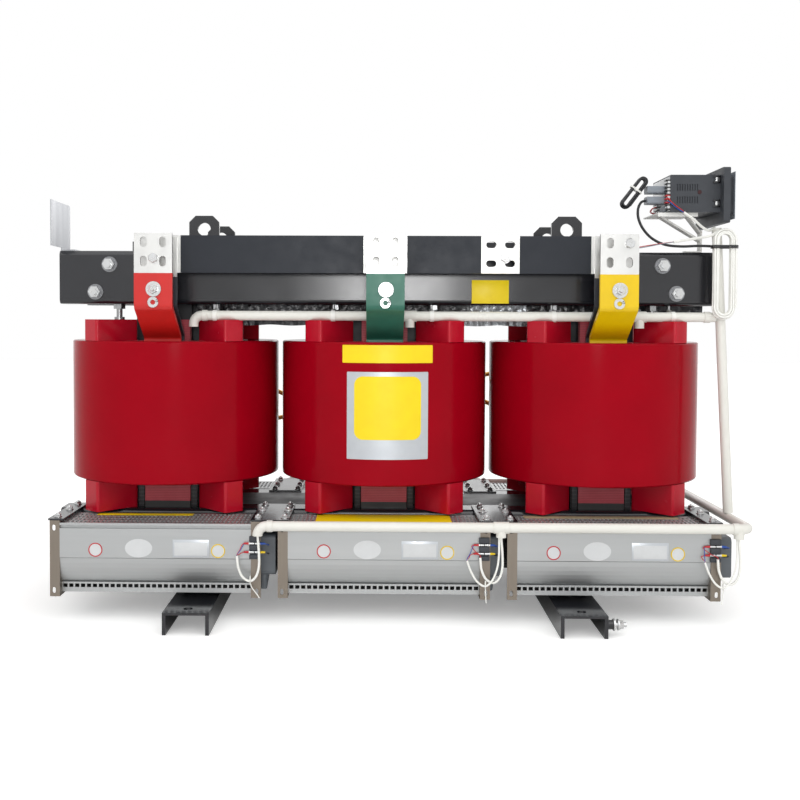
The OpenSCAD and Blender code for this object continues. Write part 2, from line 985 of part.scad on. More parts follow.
module arm_row() {
    arm(fan_first_x - arm_over, fan_first_x - arm_over + arm_side);
    for (i = [1:2]) {
        x = fan_first_x + i * fan_pitch;
        arm(x - fan_between - fan_leg - 1, x + fan_leg + 1);
    }
    arm(fan_end_x + arm_over - arm_side, fan_end_x + arm_over);
}

module fan_arms() {
    color(black_paint) in_place() both_depths() arm_row();
}

// Conduits

module elbow(bend, angle) {
    rotate_extrude(angle = angle, $fn = 48) translate([bend, 0]) circle(d = pipe_d, $fn = 32);
}

// The upper conduit runs under the front clamp and drops a stub to each winding
pipe_proud = 24;
upper_pipe_y = -clamp_face - pipe_proud;
upper_pipe_z = upper_z0 - 26;
stub_dx = [70, 57, 72];
stub_drop = 26;
riser_in = 2;
riser_rise = 53;
riser_top_x = clamp_half - riser_in;
riser_top_z = upper_z1 + riser_rise;
side_gap = 57;
side_pipe_x = max(fan_end_x + side_gap, clamp_half + pipe_d);
pipe_below = 7;
lower_pipe_z = yoke_top - pipe_below;
riser_foot_z = lower_pipe_z + pipe_r;
function riser_x(z) =
    side_pipe_x + (riser_top_x - side_pipe_x) * (z - riser_foot_z) / (riser_top_z - riser_foot_z);
joint_gap = 0.3;
module upper_conduit() {
    x0 = -phase_pitch + stub_dx[0];
    z = upper_pipe_z;
    color(pvc)
        in_place()
            union() {
                rod_x(x0 + pipe_bend, riser_x(z) - pipe_r - joint_gap, upper_pipe_y, z, pipe_d);
                translate([x0 + pipe_bend, upper_pipe_y, z - pipe_bend])
                    rotate([90, 0, 0]) rotate([0, 0, 90]) elbow(pipe_bend, 90);
                rod_z(x0, upper_pipe_y, z - stub_drop, z - pipe_bend, pipe_d);
                for (side = [0, 1])
                    rod_z(side * phase_pitch + stub_dx[side + 1], upper_pipe_y, z - stub_drop, z, pipe_d);
            }
}

// The riser leans outwards as it goes down to the conduit beside the fans
module riser_conduit() {
    foot = [side_pipe_x, upper_pipe_y, riser_foot_z];
    head = [riser_top_x, upper_pipe_y, riser_top_z];
    lean = head - foot;
    color(pvc)
        in_place()
            translate(foot)
                rotate([0, atan2(lean[0], lean[2]), 0])
                    cylinder(h = norm(lean), d = pipe_d, $fn = 32);
}

// A stub of the lower conduit ends at the motor end of each fan
stub_end = 1;
stub_shift = [-6, 22, 34];
function lead_x(i) = fan_first_x + i * fan_pitch + fan_len + stub_shift[i];
module lower_conduit() {
    z = lower_pipe_z;
    x0 = lead_x(0);
    x1 = side_pipe_x;
    bend = pipe_bend;
    color(pvc)
        in_place()
            union() {
                rod_y(x1, -pipe_y + bend, pipe_y - bend, z, pipe_d);
                both_depths() {
                    rod_x(x0 + bend, x1 - bend, -pipe_y, z, pipe_d);
                    translate([x1 - bend, -pipe_y + bend, z]) rotate([0, 0, -90]) elbow(bend, 90);
                    translate([x0 + bend, -pipe_y, z - bend])
                        rotate([90, 0, 0]) rotate([0, 0, 90]) elbow(bend, 90);
                    rod_z(x0, -pipe_y, z - bend - stub_end, z - bend, pipe_d);
                    for (i = [1:2])
                        rod_z(lead_x(i), -pipe_y, z - bend - stub_end, z, pipe_d);
                }
            }
}

// End pieces on the clamps

plate_over = 67;
plate_len = 146;
plate_h = 104;
plate_t = 2;
plate_lift = 7;
plate_foot_w = 34;
plate_foot_t = 3;
module nameplate_bracket() {
    x = -clamp_half;
    y0 = -clamp_face - plate_over;
    y_foot = clamp_bend_r - clamp_face;
    z = upper_z1;
    color("#c9c9cb")
        in_place()
            union() {
                box(x, x + plate_t, y0, y0 + plate_len, z + plate_lift, z + plate_lift + plate_h);
                box(x, x + plate_foot_w, y_foot, y0 + plate_len, z, z + plate_foot_t);
                box(x, x + plate_t, y_foot, y0 + plate_len, z, z + plate_lift + 1);
            }
}

// A tray under the controller stands on two struts and a leg bent out of one strip
case_in = 114;
case_over = 47;
case_lift = 87;
case_x0 = clamp_half - case_in;
case_y0 = -clamp_face - case_over;
case_z0 = upper_z1 + case_lift;
tray_t = 3;
tray_over = 25;
tray_len = 90;
tray_lip = 9;
tray_margin = 10;
strip_w = 26;
strip_in = 4;
leg_in = 29;
leg_h = 51;
leg_foot = 34;
strut_t = 5;
module strut(x0, z0, x1, z1) {
    translate([0, strip_in + strip_w - clamp_face, 0])
        rotate([90, 0, 0])
            linear_extrude(strip_w)
                polygon([[x0, z0], [x1, z1], [x1, z1 + strut_t], [x0, z0 + strut_t]]);
}

module controller_bracket() {
    leg_x = clamp_half - leg_in;
    leg_z = upper_z1 + leg_h;
    tray_x = case_x0 - tray_over;
    tray_z = case_z0 - tray_t;
    y0 = strip_in - clamp_face;
    y1 = y0 + strip_w;
    color("#dcdcda")
        in_place()
            union() {
                box(tray_x, tray_x + tray_len, case_y0 + tray_margin, case_y0 + case_w - tray_margin,
                    tray_z, case_z0);
                box(tray_x, tray_x + tray_len, case_y0 + tray_margin,
                    case_y0 + tray_margin + tray_t, case_z0 - tray_lip, case_z0);
                box(leg_x, leg_x + tray_t, y0, y1, upper_z1, leg_z);
                box(leg_x - leg_foot, leg_x + tray_t, y0, y1, upper_z1, upper_z1 + tray_t);
                strut(tray_x + 2 * tray_lip, tray_z - strut_t + 1, leg_x + 1, leg_z - 3 * tray_lip);
                strut(tray_x + tray_len - tray_lip, tray_z - strut_t + 1, leg_x + 1, leg_z - tray_lip);
            }
}

module controller_case() {
    color(grey_case)
        in_place()
            translate([case_x0, case_y0, case_z0])
                difference() {
                    cube([case_l, case_w, case_h]);
                    for (i = [0:8])
                        for (z = [20, 48])
                            translate([14 + i * 5.6, -cut, z]) cube([2.6, 2.5 + cut, 15]);
                }
}

bezel_shift = 4;
bezel_drop = 5;
panel_t = 13;
module controller_bezel() {
    x = case_x0 + case_l;
    y_mid = case_y0 + case_w / 2 + bezel_shift;
    z_mid = case_z0 + case_h / 2 - bezel_drop;
    color(grey_case)
        in_place()
            union() {
                translate([x, y_mid, z_mid])
                    rotate([90, 0, 90]) linear_extrude(bezel_t) rounded_rect(bezel_w, bezel_h, 5);
                translate([x + bezel_t - cut, y_mid, z_mid])
                    rotate([90, 0, 90])
                        linear_extrude(panel_t + cut) rounded_rect(bezel_w - 36, case_h, 4);
            }
}

hood_l = 42;
hood_w = 32;
hood_h = 17;
neck_l = 5;
neck_w = 22;
neck_h = 11;
hood_y = case_y0 + 34;
hood_z = [case_z0 + 53, case_z0 + 29];
module connector_hoods() {
    color("#8b9198")
        in_place()
            for (z = hood_z)
                translate([case_x0 - neck_l - hood_l, hood_y, z])
                    rotate([0, 90, 0])
                        union() {
                            linear_extrude(hood_l) rounded_rect(hood_h, hood_w, 5);
                            translate([0, 0, hood_l - cut])
                                linear_extrude(neck_l + cut) rounded_rect(neck_h, neck_w, 2);
                        }
}

// Cords

hood_end_x = case_x0 - neck_l - hood_l;
cable_d = 6;
supply_end_x = riser_x(hood_z[1] - 104) - pipe_r - 4 * joint_gap;
supply_path = [
    [hood_end_x, hood_y, hood_z[1]],
    [hood_end_x - 10, hood_y, hood_z[1] - 3],
    [hood_end_x - 17, hood_y, hood_z[1] - 18],
    [hood_end_x - 16, hood_y, hood_z[1] - 40],
    [hood_end_x - 5, hood_y, hood_z[1] - 64],
    [hood_end_x + 16, hood_y, hood_z[1] - 86],
    [hood_end_x + 46, hood_y, hood_z[1] - 100],
    [hood_end_x + 82, hood_y - 3, hood_z[1] - 104],
    [hood_end_x + 120, hood_y - 8, hood_z[1] - 103],
    [supply_end_x, hood_y - 11, hood_z[1] - 104]
];
module supply_cable() {
    color("#17181a") in_place() cord(supply_path, cable_d, 8);
}

// A hank of spare cable stands out from the upper hood
alarm_len = 88;
alarm_w = 26;
alarm_t = 18;
alarm_turn = 53;
module alarm_hank() {
    color("#17181a")
        in_place()
            translate([hood_end_x - 27, hood_y, hood_z[0] - 5])
                rotate([90, 90 - alarm_turn, 0])
                    translate([0, 0, -alarm_t / 2])
                        linear_extrude(alarm_t) rounded_rect(alarm_w, alarm_len, 12);
}

hank_l = 210;
hank_w = 56;
hank_t = 16;
hank_y = upper_pipe_y - pipe_r - hank_t - joint_gap;
module sensor_hank() {
    color(pvc)
        in_place()
            translate([riser_top_x + 12, hank_y, riser_top_z - hank_l / 2])
                rotate([-90, 0, 0])
                    linear_extrude(hank_t) rounded_rect(hank_w, hank_l, 26);
}

lead_d = 5.5;
lead_y = -pipe_y;
lead_z = lower_pipe_z - pipe_bend;
function fan_lead_path(x) = [
    [x, lead_y, lead_z - stub_end],
    [x + 1, lead_y, lead_z - 14],
    [x + 3, lead_y, lead_z - 40],
    [x + 3, lead_y, lead_z - 68],
    [x - 3, lead_y, lead_z - 90],
    [x - 16, lead_y, lead_z - 101],
    [x - 32, lead_y, lead_z - 93],
    [x - 42, lead_y, lead_z - 72],
    [x - 45, lead_y, lead_z - 46]
];
module fan_leads() {
    color(pvc)
        in_place()
            for (i = [0:2]) cord(fan_lead_path(lead_x(i)), lead_d, 8);
}

module left_lv_coil() {
    in_place() translate([-phase_pitch, 0, 0]) lv_coil();
}

module middle_lv_coil() {
    in_place() lv_coil();
}

module right_lv_coil() {
    in_place() translate([phase_pitch, 0, 0]) lv_coil();
}

module left_hv_coil() {
    in_place() translate([-phase_pitch, 0, 0]) hv_coil();
}

module middle_hv_coil() {
    in_place() hv_coil();
}

module right_hv_coil() {
    in_place() translate([phase_pitch, 0, 0]) hv_coil();
}

left_foot();
right_foot();
earthing_bolt();
lower_front_clamp();
lower_rear_clamp();
upper_front_clamp();
upper_rear_clamp();
core();
tie_bolts();
lifting_lugs();
left_lv_coil();
middle_lv_coil();
right_lv_coil();
left_hv_coil();
middle_hv_coil();
right_hv_coil();
lower_blocks();
upper_blocks();
support_boards();
pressure_screws();
red_busbar();
green_busbar();
yellow_busbar();
neutral_leads();
neutral_bar();
post_insulators();
delta_links();
front_left_fan();
front_middle_fan();
front_right_fan();
rear_left_fan();
rear_middle_fan();
rear_right_fan();
front_fan_brackets();
rear_fan_brackets();
fan_impellers();
fan_motors();
fan_arms();
upper_conduit();
riser_conduit();
lower_conduit();
nameplate_bracket();
controller_bracket();
controller_case();
controller_bezel();
connector_hoods();
alarm_hank();
supply_cable();
sensor_hank();
fan_leads();
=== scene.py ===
"""Looks of a three-phase cast-resin dry-type transformer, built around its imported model."""

import logging
import math
from dataclasses import dataclass
from enum import Enum

import bmesh
import bpy
from mathutils import Matrix, Vector


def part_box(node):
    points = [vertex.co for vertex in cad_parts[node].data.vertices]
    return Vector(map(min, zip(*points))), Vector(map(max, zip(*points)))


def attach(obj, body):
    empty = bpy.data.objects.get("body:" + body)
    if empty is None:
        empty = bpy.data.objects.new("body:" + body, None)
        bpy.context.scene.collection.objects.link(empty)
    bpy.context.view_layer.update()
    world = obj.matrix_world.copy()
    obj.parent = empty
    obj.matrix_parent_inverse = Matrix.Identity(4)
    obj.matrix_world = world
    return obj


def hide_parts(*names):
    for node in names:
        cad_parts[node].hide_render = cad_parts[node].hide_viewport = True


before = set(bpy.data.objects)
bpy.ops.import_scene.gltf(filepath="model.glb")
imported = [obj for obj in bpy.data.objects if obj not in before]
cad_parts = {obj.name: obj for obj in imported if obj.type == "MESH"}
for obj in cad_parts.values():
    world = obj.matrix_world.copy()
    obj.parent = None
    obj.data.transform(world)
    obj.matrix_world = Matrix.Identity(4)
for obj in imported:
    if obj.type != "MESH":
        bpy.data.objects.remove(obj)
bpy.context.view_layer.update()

logging.basicConfig(level=logging.INFO, format="%(message)s")
LOG = logging.getLogger("transformer")

MM = 0.001
UP = Vector((0.0, 0.0, 1.0))
FRONT = Vector((0.0, -1.0, 0.0))
RIGHT = Vector((1.0, 0.0, 0.0))
Point = tuple[float, float, float]


# Small tools shared by every sub-assembly

def linear(code: str) -> tuple[float, float, float, float]:
    """Turns an sRGB hex colour into linear light.

    Args:
        code: The colour as "#rrggbb".

    Returns:
        Linear red, green, blue and an alpha of 1.
    """
    shares = [int(code[i:i + 2], 16) / 255 for i in (1, 3, 5)]
    light = [s / 12.92 if s <= 0.04045 else ((s + 0.055) / 1.055) ** 2.4 for s in shares]
    return (light[0], light[1], light[2], 1.0)


def add(tree: bpy.types.NodeTree, kind: str, settings: dict | None = None,
        links: dict | None = None) -> bpy.types.Node:
    """Adds a node with its settings and links.

    Args:
        tree: The node tree that takes the node.
        kind: The node's type name.
        settings: Values for attributes, or for inputs by name or number.
        links: Output sockets that feed inputs, by the inputs' names or numbers.

    Returns:
        The new node.
    """
    made = tree.nodes.new(kind)
    for key, value in (settings or {}).items():
        if isinstance(key, int) or key in made.inputs:
            made.inputs[key].default_value = value
        else:
            setattr(made, key, value)
    for key, socket in (links or {}).items():
        tree.links.new(socket, made.inputs[key])
    return made


def turn_to(axis: Vector) -> Matrix:
    """Gives the rotation that turns +Z to an axis.

    Args:
        axis: The wanted direction.

    Returns:
        A 4 by 4 rotation.
    """
    return UP.rotation_difference(axis.normalized()).to_matrix().to_4x4()


def rod(bm: bmesh.types.BMesh, start: Vector, end: Vector, width: float, sides: int = 24,
        end_width: float | None = None) -> None:
    """Adds a straight rod, a cone or, with six sides, a hexagon.

    Args:
        bm: The mesh that takes it.
        start: Middle of the first end.
        end: Middle of the other end.
        width: Diameter at the first end.
        sides: Number of sides.
        end_width: Diameter at the other end, where it differs.
    """
    reach = end - start
    place = Matrix.Translation((start + end) / 2) @ turn_to(reach)
    last = width if end_width is None else end_width
    bmesh.ops.create_cone(bm, cap_ends=True, segments=sides, radius1=width / 2, radius2=last / 2,
                          depth=reach.length, matrix=place)


def slab(bm: bmesh.types.BMesh, low: Point, high: Point, bevel: float = 0.0) -> None:
    """Adds a box between two corners, with bevelled edges where asked.

    Args:
        bm: The mesh that takes it.
        low: Lowest corner.
        high: Highest corner.
        bevel: Width of the edge bevel.
    """
    size = [h - l for l, h in zip(low, high)]
    middle = Vector([(h + l) / 2 for l, h in zip(low, high)])
    matrix = Matrix.Translation(middle) @ Matrix.Diagonal((*size, 1.0))
    verts = bmesh.ops.create_cube(bm, size=1.0, matrix=matrix)["verts"]
    if bevel > 0:
        edges = list({e for v in verts for e in v.link_edges})
        bmesh.ops.bevel(bm, geom=edges, offset=bevel, offset_type="OFFSET", affect="EDGES", segments=2,
                        profile=0.5, material=-1)


def ring(bm: bmesh.types.BMesh, centre: Vector, axis: Vector, outer: float, inner: float,
         depth: float, sides: int = 32) -> None:
    """Adds a flat ring, such as a washer or a collar, by spinning its section.

    Args:
        bm: The mesh that takes it.
        centre: Middle of its first face.
        axis: Direction from the first face to the other.
        outer: Outer diameter.
        inner: Inner diameter.
        depth: Thickness along the axis.
        sides: Steps of the spin.
    """
    place = Matrix.Translation(centre) @ turn_to(axis)
    edge = min(outer - inner, depth * 2) * 0.12
    corners = [(inner / 2, 0), (outer / 2 - edge, 0), (outer / 2, edge), (outer / 2, depth - edge),
               (outer / 2 - edge, depth), (inner / 2, depth)]
    verts = [bm.verts.new(place @ Vector((r, 0, z))) for r, z in corners]
    face = bm.faces.new(verts)
    bmesh.ops.spin(bm, geom=[face], cent=centre, axis=place.to_3x3() @ UP, dvec=(0, 0, 0),
                   angle=2 * math.pi, steps=sides, use_merge=True, use_duplicate=False)


def bolt(bm: bmesh.types.BMesh, seat: Vector, axis: Vector, across: float, head: float,
         washer: float = 0.0, tip: float = 0.0) -> None:
    """Adds a hexagon head or nut on a washer, with the thread's end standing out.

    Args:
        bm: The mesh that takes it.
        seat: Point of the surface under the washer.
        axis: Direction away from the surface.
        across: Width across the flats.
        head: Height of the hexagon.
        washer: Diameter of the washer, or 0 for none.
        tip: Length of thread past the hexagon.
    """
    axis = axis.normalized()
    base = seat.copy()
    if washer > 0:
        thick = washer * 0.08
        ring(bm, base, axis, washer, across * 0.5, thick)
        base = base + axis * thick
    corner = across / math.cos(math.pi / 6)
    rim = head * 0.16
    rod(bm, base, base + axis * (head - rim), corner, 6)
    rod(bm, base + axis * (head - rim), base + axis * head, corner, 6, corner * 0.88)
    if tip > 0:
        rod(bm, base + axis * (head - rim), base + axis * (head + tip), across * 0.6, 16)
        rod(bm, base + axis * (head + tip), base + axis * (head + tip + 1.5 * MM), across * 0.6, 16,
            across * 0.48)


def disc(bm: bmesh.types.BMesh, centre: Vector, axis: Vector, width: float, height: float,
         thick: float, sides: int = 48) -> None:
    """Adds a thin round or oval plate.

    Args:
        bm: The mesh that takes it.
        centre: Middle of the face that lies on the surface.
        axis: Direction away from the surface.
        width: Width of the plate.
        height: Height of the plate.
        thick: Thickness of the plate.
        sides: Number of sides.
    """
    place = Matrix.Translation(centre + axis * thick / 2) @ turn_to(axis)
    bmesh.ops.create_cone(bm, cap_ends=True, segments=sides, radius1=0.5, radius2=0.5, depth=thick,
                          matrix=place @ Matrix.Diagonal((width, height, 1.0, 1.0)))


def smooth_line(points: list[Point], step: float) -> list[Vector]:
    """Runs a smooth curve through given points.

    Args:
        points: The points of the route.
        step: Wanted distance between the new points.

    Returns:
        Points along a Catmull-Rom curve, from the first point to the last.
    """
    ctrl = [Vector(p) for p in points]
    ctrl = [2 * ctrl[0] - ctrl[1], *ctrl, 2 * ctrl[-1] - ctrl[-2]]
    line = [ctrl[1]]
    for a, b, c, d in zip(ctrl, ctrl[1:], ctrl[2:], ctrl[3:]):
        count = max(1, round((c - b).length / step))
        for i in range(1, count + 1):
            t = i / count
            line.append(0.5 * (2 * b + (c - a) * t + (2 * a - 5 * b + 4 * c - d) * t * t
                               + (3 * b - a - 3 * c + d) * t ** 3))
    return line


def tie_loop(half_w: float, half_t: float, level: float, power: float, step: int) -> list[Vector]:
    """Gives a level loop with round corners, such as a tie round a bundle.

    Args:
        half_w: Half of its width.
        half_t: Half of its thickness.
        level: Its height.
        power: How square its width is: 1 is round, and less is squarer.
        step: Degrees between its points.

    Returns:
        The points, with the first one again at the end.
    """
    points = []
    for angle in range(0, 361, step):
        cosine, sine = math.cos(math.radians(angle)), math.sin(math.radians(angle))
        points.append(Vector((half_w * math.copysign(abs(cosine) ** power, cosine),
                              half_t * math.copysign(abs(sine) ** 0.5, sine), level)))
    return points


def tube_curve(name: str, line: list[Vector], width: float) -> bpy.types.Object:
    """Makes a round tube as a curve of one open spline.

    Args:
        name: Name of the object.
        line: The centreline.
        width: Diameter.

    Returns:
        The curve object.
    """
    curve = bpy.data.curves.new(name, "CURVE")
    curve.dimensions = "3D"
    curve.bevel_depth = width / 2
    curve.bevel_resolution = 3
    curve.use_fill_caps = True
    spline = curve.splines.new("POLY")
    spline.points.add(len(line) - 1)
    for point, place in zip(spline.points, line):
        point.co = (*place, 1.0)
    spline.use_smooth = True
    made = bpy.data.objects.new(name, curve)
    bpy.context.scene.collection.objects.link(made)
    return made


def wire(bm: bmesh.types.BMesh, points: list[Point], width: float, step: float = 3 * MM) -> None:
    """Adds a short fixed wire or a tie to a mesh.

    Args:
        bm: The mesh that takes it.
        points: Points of its route.
        width: Diameter.
        step: Distance between its rings.
    """
    made = tube_curve("wire_in_work", smooth_line(points, step), width)
    made.data.bevel_resolution = 1
    mesh = bpy.data.meshes.new_from_object(made)
    bm.from_mesh(mesh)
    bpy.data.objects.remove(made)
    bpy.data.meshes.remove(mesh)


def piece(name: str, bm: bmesh.types.BMesh, material: bpy.types.Material) -> None:
    """Turns a mesh in work into a finished piece that rides on the transformer.

    Args:
        name: Name of the piece.
        bm: The mesh in work, which is freed.
        material: Its finish.
    """
    mesh = bpy.data.meshes.new(name)
    bmesh.ops.recalc_face_normals(bm, faces=bm.faces)
    bm.to_mesh(mesh)
    bm.free()
    for face in mesh.polygons:
        face.use_smooth = True
    mesh.set_sharp_from_angle(angle=math.radians(35))
    mesh.materials.append(material)
    made = bpy.data.objects.new(name, mesh)
    bpy.context.scene.collection.objects.link(made)
    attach(made, "root")
    LOG.info("piece %s: %d faces", name, len(mesh.polygons))


def dress(node: str, material: bpy.types.Material) -> None:
    """Gives a carried-over solid its finish.

    Args:
        node: Name of the solid.
        material: The finish.
    """
    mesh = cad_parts[node].data
    mesh.materials.clear()
    mesh.materials.append(material)
    for face in mesh.polygons:
        face.material_index = 0


def in_mm(x: float, y: float, z: float) -> Vector:
    """Gives a step whose parts are told in millimetres."""
    return Vector((x * MM, y * MM, z * MM))


# Finishes: each is named for its material and how its surface was made

@dataclass(frozen=True)
class Finish:
    """A finish with slow blotches of a second shade and a fine grain in its relief.

    Args:
        name: Name of the material.
        slot: The record's material slot.
        colour: Main colour.
        shade: Colour of the blotches.
        blotch: Size of the blotches, in metres.
        grain: Size of the grain, in metres.
        relief: Height of the grain, in metres.
        rough: Lowest and highest roughness.
        metallic: 1 for a bare metal.
        specular: Level of the plain reflection.
        coat: Weight of a clear gloss layer.
        stretch: Scale of the pattern along X, Y and Z.
    """

    name: str
    slot: str
    colour: str
    shade: str
    blotch: float
    grain: float
    relief: float
    rough: tuple[float, float]
    metallic: float = 0.0
    specular: float = 0.5
    coat: float = 0.0
    stretch: Point = (1.0, 1.0, 1.0)

    def top(self, tree: bpy.types.NodeTree, shader: bpy.types.Node,
            base: bpy.types.Node) -> bpy.types.NodeSocket:
        """Gives the colour that shows, which other finishes add to.

        Args:
            tree: The material's tree.
            shader: The shader.
            base: The mix of the two colours.

        Returns:
            The socket of the colour.
        """
        return base.outputs[2]

    def build(self) -> bpy.types.Material:
        """Makes the finish.

        Returns:
            The material.
        """
        material = bpy.data.materials.new(self.name)
        material.use_nodes = True
        tree = material.node_tree
        shader = tree.nodes["Principled BSDF"]
        shader.inputs["Metallic"].default_value = self.metallic
        shader.inputs["Specular IOR Level"].default_value = self.specular
        shader.inputs["Coat Weight"].default_value = self.coat
        shader.inputs["Coat Roughness"].default_value = 0.06
        place = add(tree, "ShaderNodeTexCoord")
        mapping = add(tree, "ShaderNodeMapping", {"Scale": self.stretch}, {"Vector": place.outputs["Object"]})
        slow = add(tree, "ShaderNodeTexNoise", {"Scale": 1 / self.blotch, "Detail": 3.0, "Roughness": 0.6},
                   {"Vector": mapping.outputs[0]})
        spread = {"From Min": 0.3, "From Max": 0.7, "To Min": self.rough[0], "To Max": self.rough[1]}
        rough = add(tree, "ShaderNodeMapRange", spread, {"Value": slow.outputs[0]})
        grain = add(tree, "ShaderNodeTexNoise", {"Scale": 1 / self.grain, "Detail": 2.0},
                    {"Vector": mapping.outputs[0]})
        bump = add(tree, "ShaderNodeBump", {"Strength": 0.6, "Distance": self.relief},
                   {"Height": grain.outputs[0]})
        tree.links.new(rough.outputs[0], shader.inputs["Roughness"])
        tree.links.new(bump.outputs[0], shader.inputs["Normal"])
        colours = {"data_type": "RGBA", 6: linear(self.colour), 7: linear(self.shade)}
        base = add(tree, "ShaderNodeMix", colours, {0: slow.outputs[0]})
        tree.links.new(self.top(tree, shader, base), shader.inputs["Base Color"])
        return material


@dataclass(frozen=True)
class SleevedBar(Finish):
    """A copper bar in a coloured sleeve, tinned where it is bare.

    Args:
        tin: Colour of the tinned metal.
    """

    tin: str = "#d2d2d0"

    def bare(self, tree: bpy.types.NodeTree, parts: bpy.types.Node) -> bpy.types.Node:
        """Marks the bare metal.

        Args:
            tree: The material's tree.
            parts: The node that splits a place into X, Y and Z.

        Returns:
            A node that gives 1 on bare metal and 0 on the sleeve.
        """
        raise NotImplementedError

    def top(self, tree: bpy.types.NodeTree, shader: bpy.types.Node,
            base: bpy.types.Node) -> bpy.types.NodeSocket:
        """Puts the tinned metal over the sleeve where the bar is bare.

        Args:
            tree: The material's tree.
            shader: The shader, which turns metallic there.
            base: The sleeve's colour.

        Returns:
            The socket of the colour.
        """
        place = add(tree, "ShaderNodeTexCoord")
        parts = add(tree, "ShaderNodeSeparateXYZ", {}, {0: place.outputs["Object"]})
        bare = self.bare(tree, parts)
        colour = add(tree, "ShaderNodeMix", {"data_type": "RGBA", 7: linear(self.tin)},
                     {0: bare.outputs[0], 6: base.outputs[2]})
        tree.links.new(bare.outputs[0], shader.inputs["Metallic"])
        return colour.outputs[2]


@dataclass(frozen=True)
class BareTopBar(SleevedBar):
    """An upright bar whose sleeve ends at a height.

    Args:
        bare_from: Height at which the bare metal starts.
    """

    bare_from: float = 0.77

    def bare(self, tree: bpy.types.NodeTree, parts: bpy.types.Node) -> bpy.types.Node:
        """Marks what lies over the sleeve's end.

        Args:
            tree: The material's tree.
            parts: The node that splits a place into X, Y and Z.

        Returns:
            The node of the mark.
        """
        return add(tree, "ShaderNodeMath", {"operation": "GREATER_THAN", 1: self.bare_from},
                   {0: parts.outputs[2]})


@dataclass(frozen=True)
class BareZoneBar(SleevedBar):
    """A bar along X that is bare where others bolt on.

    Args:
        zones: Middle and half width of each bare zone, along X.
    """

    zones: tuple[tuple[float, float], ...] = ()

    def bare(self, tree: bpy.types.NodeTree, parts: bpy.types.Node) -> bpy.types.Node:
        """Marks the bare zones.

        Args:
            tree: The material's tree.
            parts: The node that splits a place into X, Y and Z.

        Returns:
            The node of the mark.
        """
        found = None
        for middle, half in self.zones:
            near = add(tree, "ShaderNodeMath", {"operation": "COMPARE", 1: middle, 2: half},
                       {0: parts.outputs[0]})
            found = near if found is None else add(tree, "ShaderNodeMath", {"operation": "MAXIMUM"},
                                                   {0: found.outputs[0], 1: near.outputs[0]})
        return found


@dataclass(frozen=True)
class LayeredFinish(Finish):
    """A finish with thin lines, such as stacked sheets or drawn metal.

    Args:
        line_colour: Colour of the lines.
        pitch: Distance between lines, in metres.
        direction: Axis across the lines, as a wave texture names it.
        centre: Centre of the rings, where the lines are rings round Z.
        painted_shade_below: Height under which a near-black band of painted shade covers all.
        painted_shade_colour: Colour of that painted shade.
    """

    line_colour: str = "#222222"
    pitch: float = 3 * MM
    direction: str = "Y"
    centre: Point | None = None
    painted_shade_below: float = 0.0
    painted_shade_colour: str = "#161617"

    def top(self, tree: bpy.types.NodeTree, shader: bpy.types.Node,
            base: bpy.types.Node) -> bpy.types.NodeSocket:
        """Draws the lines over the blotches, and under both a band of painted shade at the foot.

        Args:
            tree: The material's tree.
            shader: The shader.
            base: The mix of the two colours.

        Returns:
            The socket of the colour.
        """
        place = add(tree, "ShaderNodeTexCoord")
        # A wave texture of scale 1 has a line every 0.314 units
        scale = 0.314 / self.pitch
        if self.centre is None:
            wave = {"bands_direction": self.direction, "Scale": scale, "Distortion": 0.6, "Detail": 1.0,
                    "Detail Scale": 4.0}
            lines = add(tree, "ShaderNodeTexWave", wave, {"Vector": place.outputs["Object"]})
        else:
            moved = add(tree, "ShaderNodeMapping", {"Location": [-c for c in self.centre]},
                        {"Vector": place.outputs["Object"]})
            wave = {"wave_type": "RINGS", "rings_direction": "Z", "Scale": scale, "Distortion": 0.4,
                    "Detail": 1.0}
            lines = add(tree, "ShaderNodeTexWave", wave, {"Vector": moved.outputs[0]})
        thin = {"From Min": 0.0, "From Max": 0.35, "To Min": 1.0, "To Max": 0.0}
        share = add(tree, "ShaderNodeMapRange", thin, {"Value": lines.outputs["Fac"]})
        colour = add(tree, "ShaderNodeMix", {"data_type": "RGBA", 7: linear(self.line_colour)},
                     {0: share.outputs[0], 6: base.outputs[2]})
        # Painted shade: a near-black band at the foot, below the given height
        if self.painted_shade_below:
            parts = add(tree, "ShaderNodeSeparateXYZ", {}, {0: place.outputs["Object"]})
            foot = add(tree, "ShaderNodeMath", {"operation": "LESS_THAN", 1: self.painted_shade_below},
                       {0: parts.outputs[2]})
            colour = add(tree, "ShaderNodeMix", {"data_type": "RGBA", 7: linear(self.painted_shade_colour)},
                         {0: foot.outputs[0], 6: colour.outputs[2]})
        return colour.outputs[2]


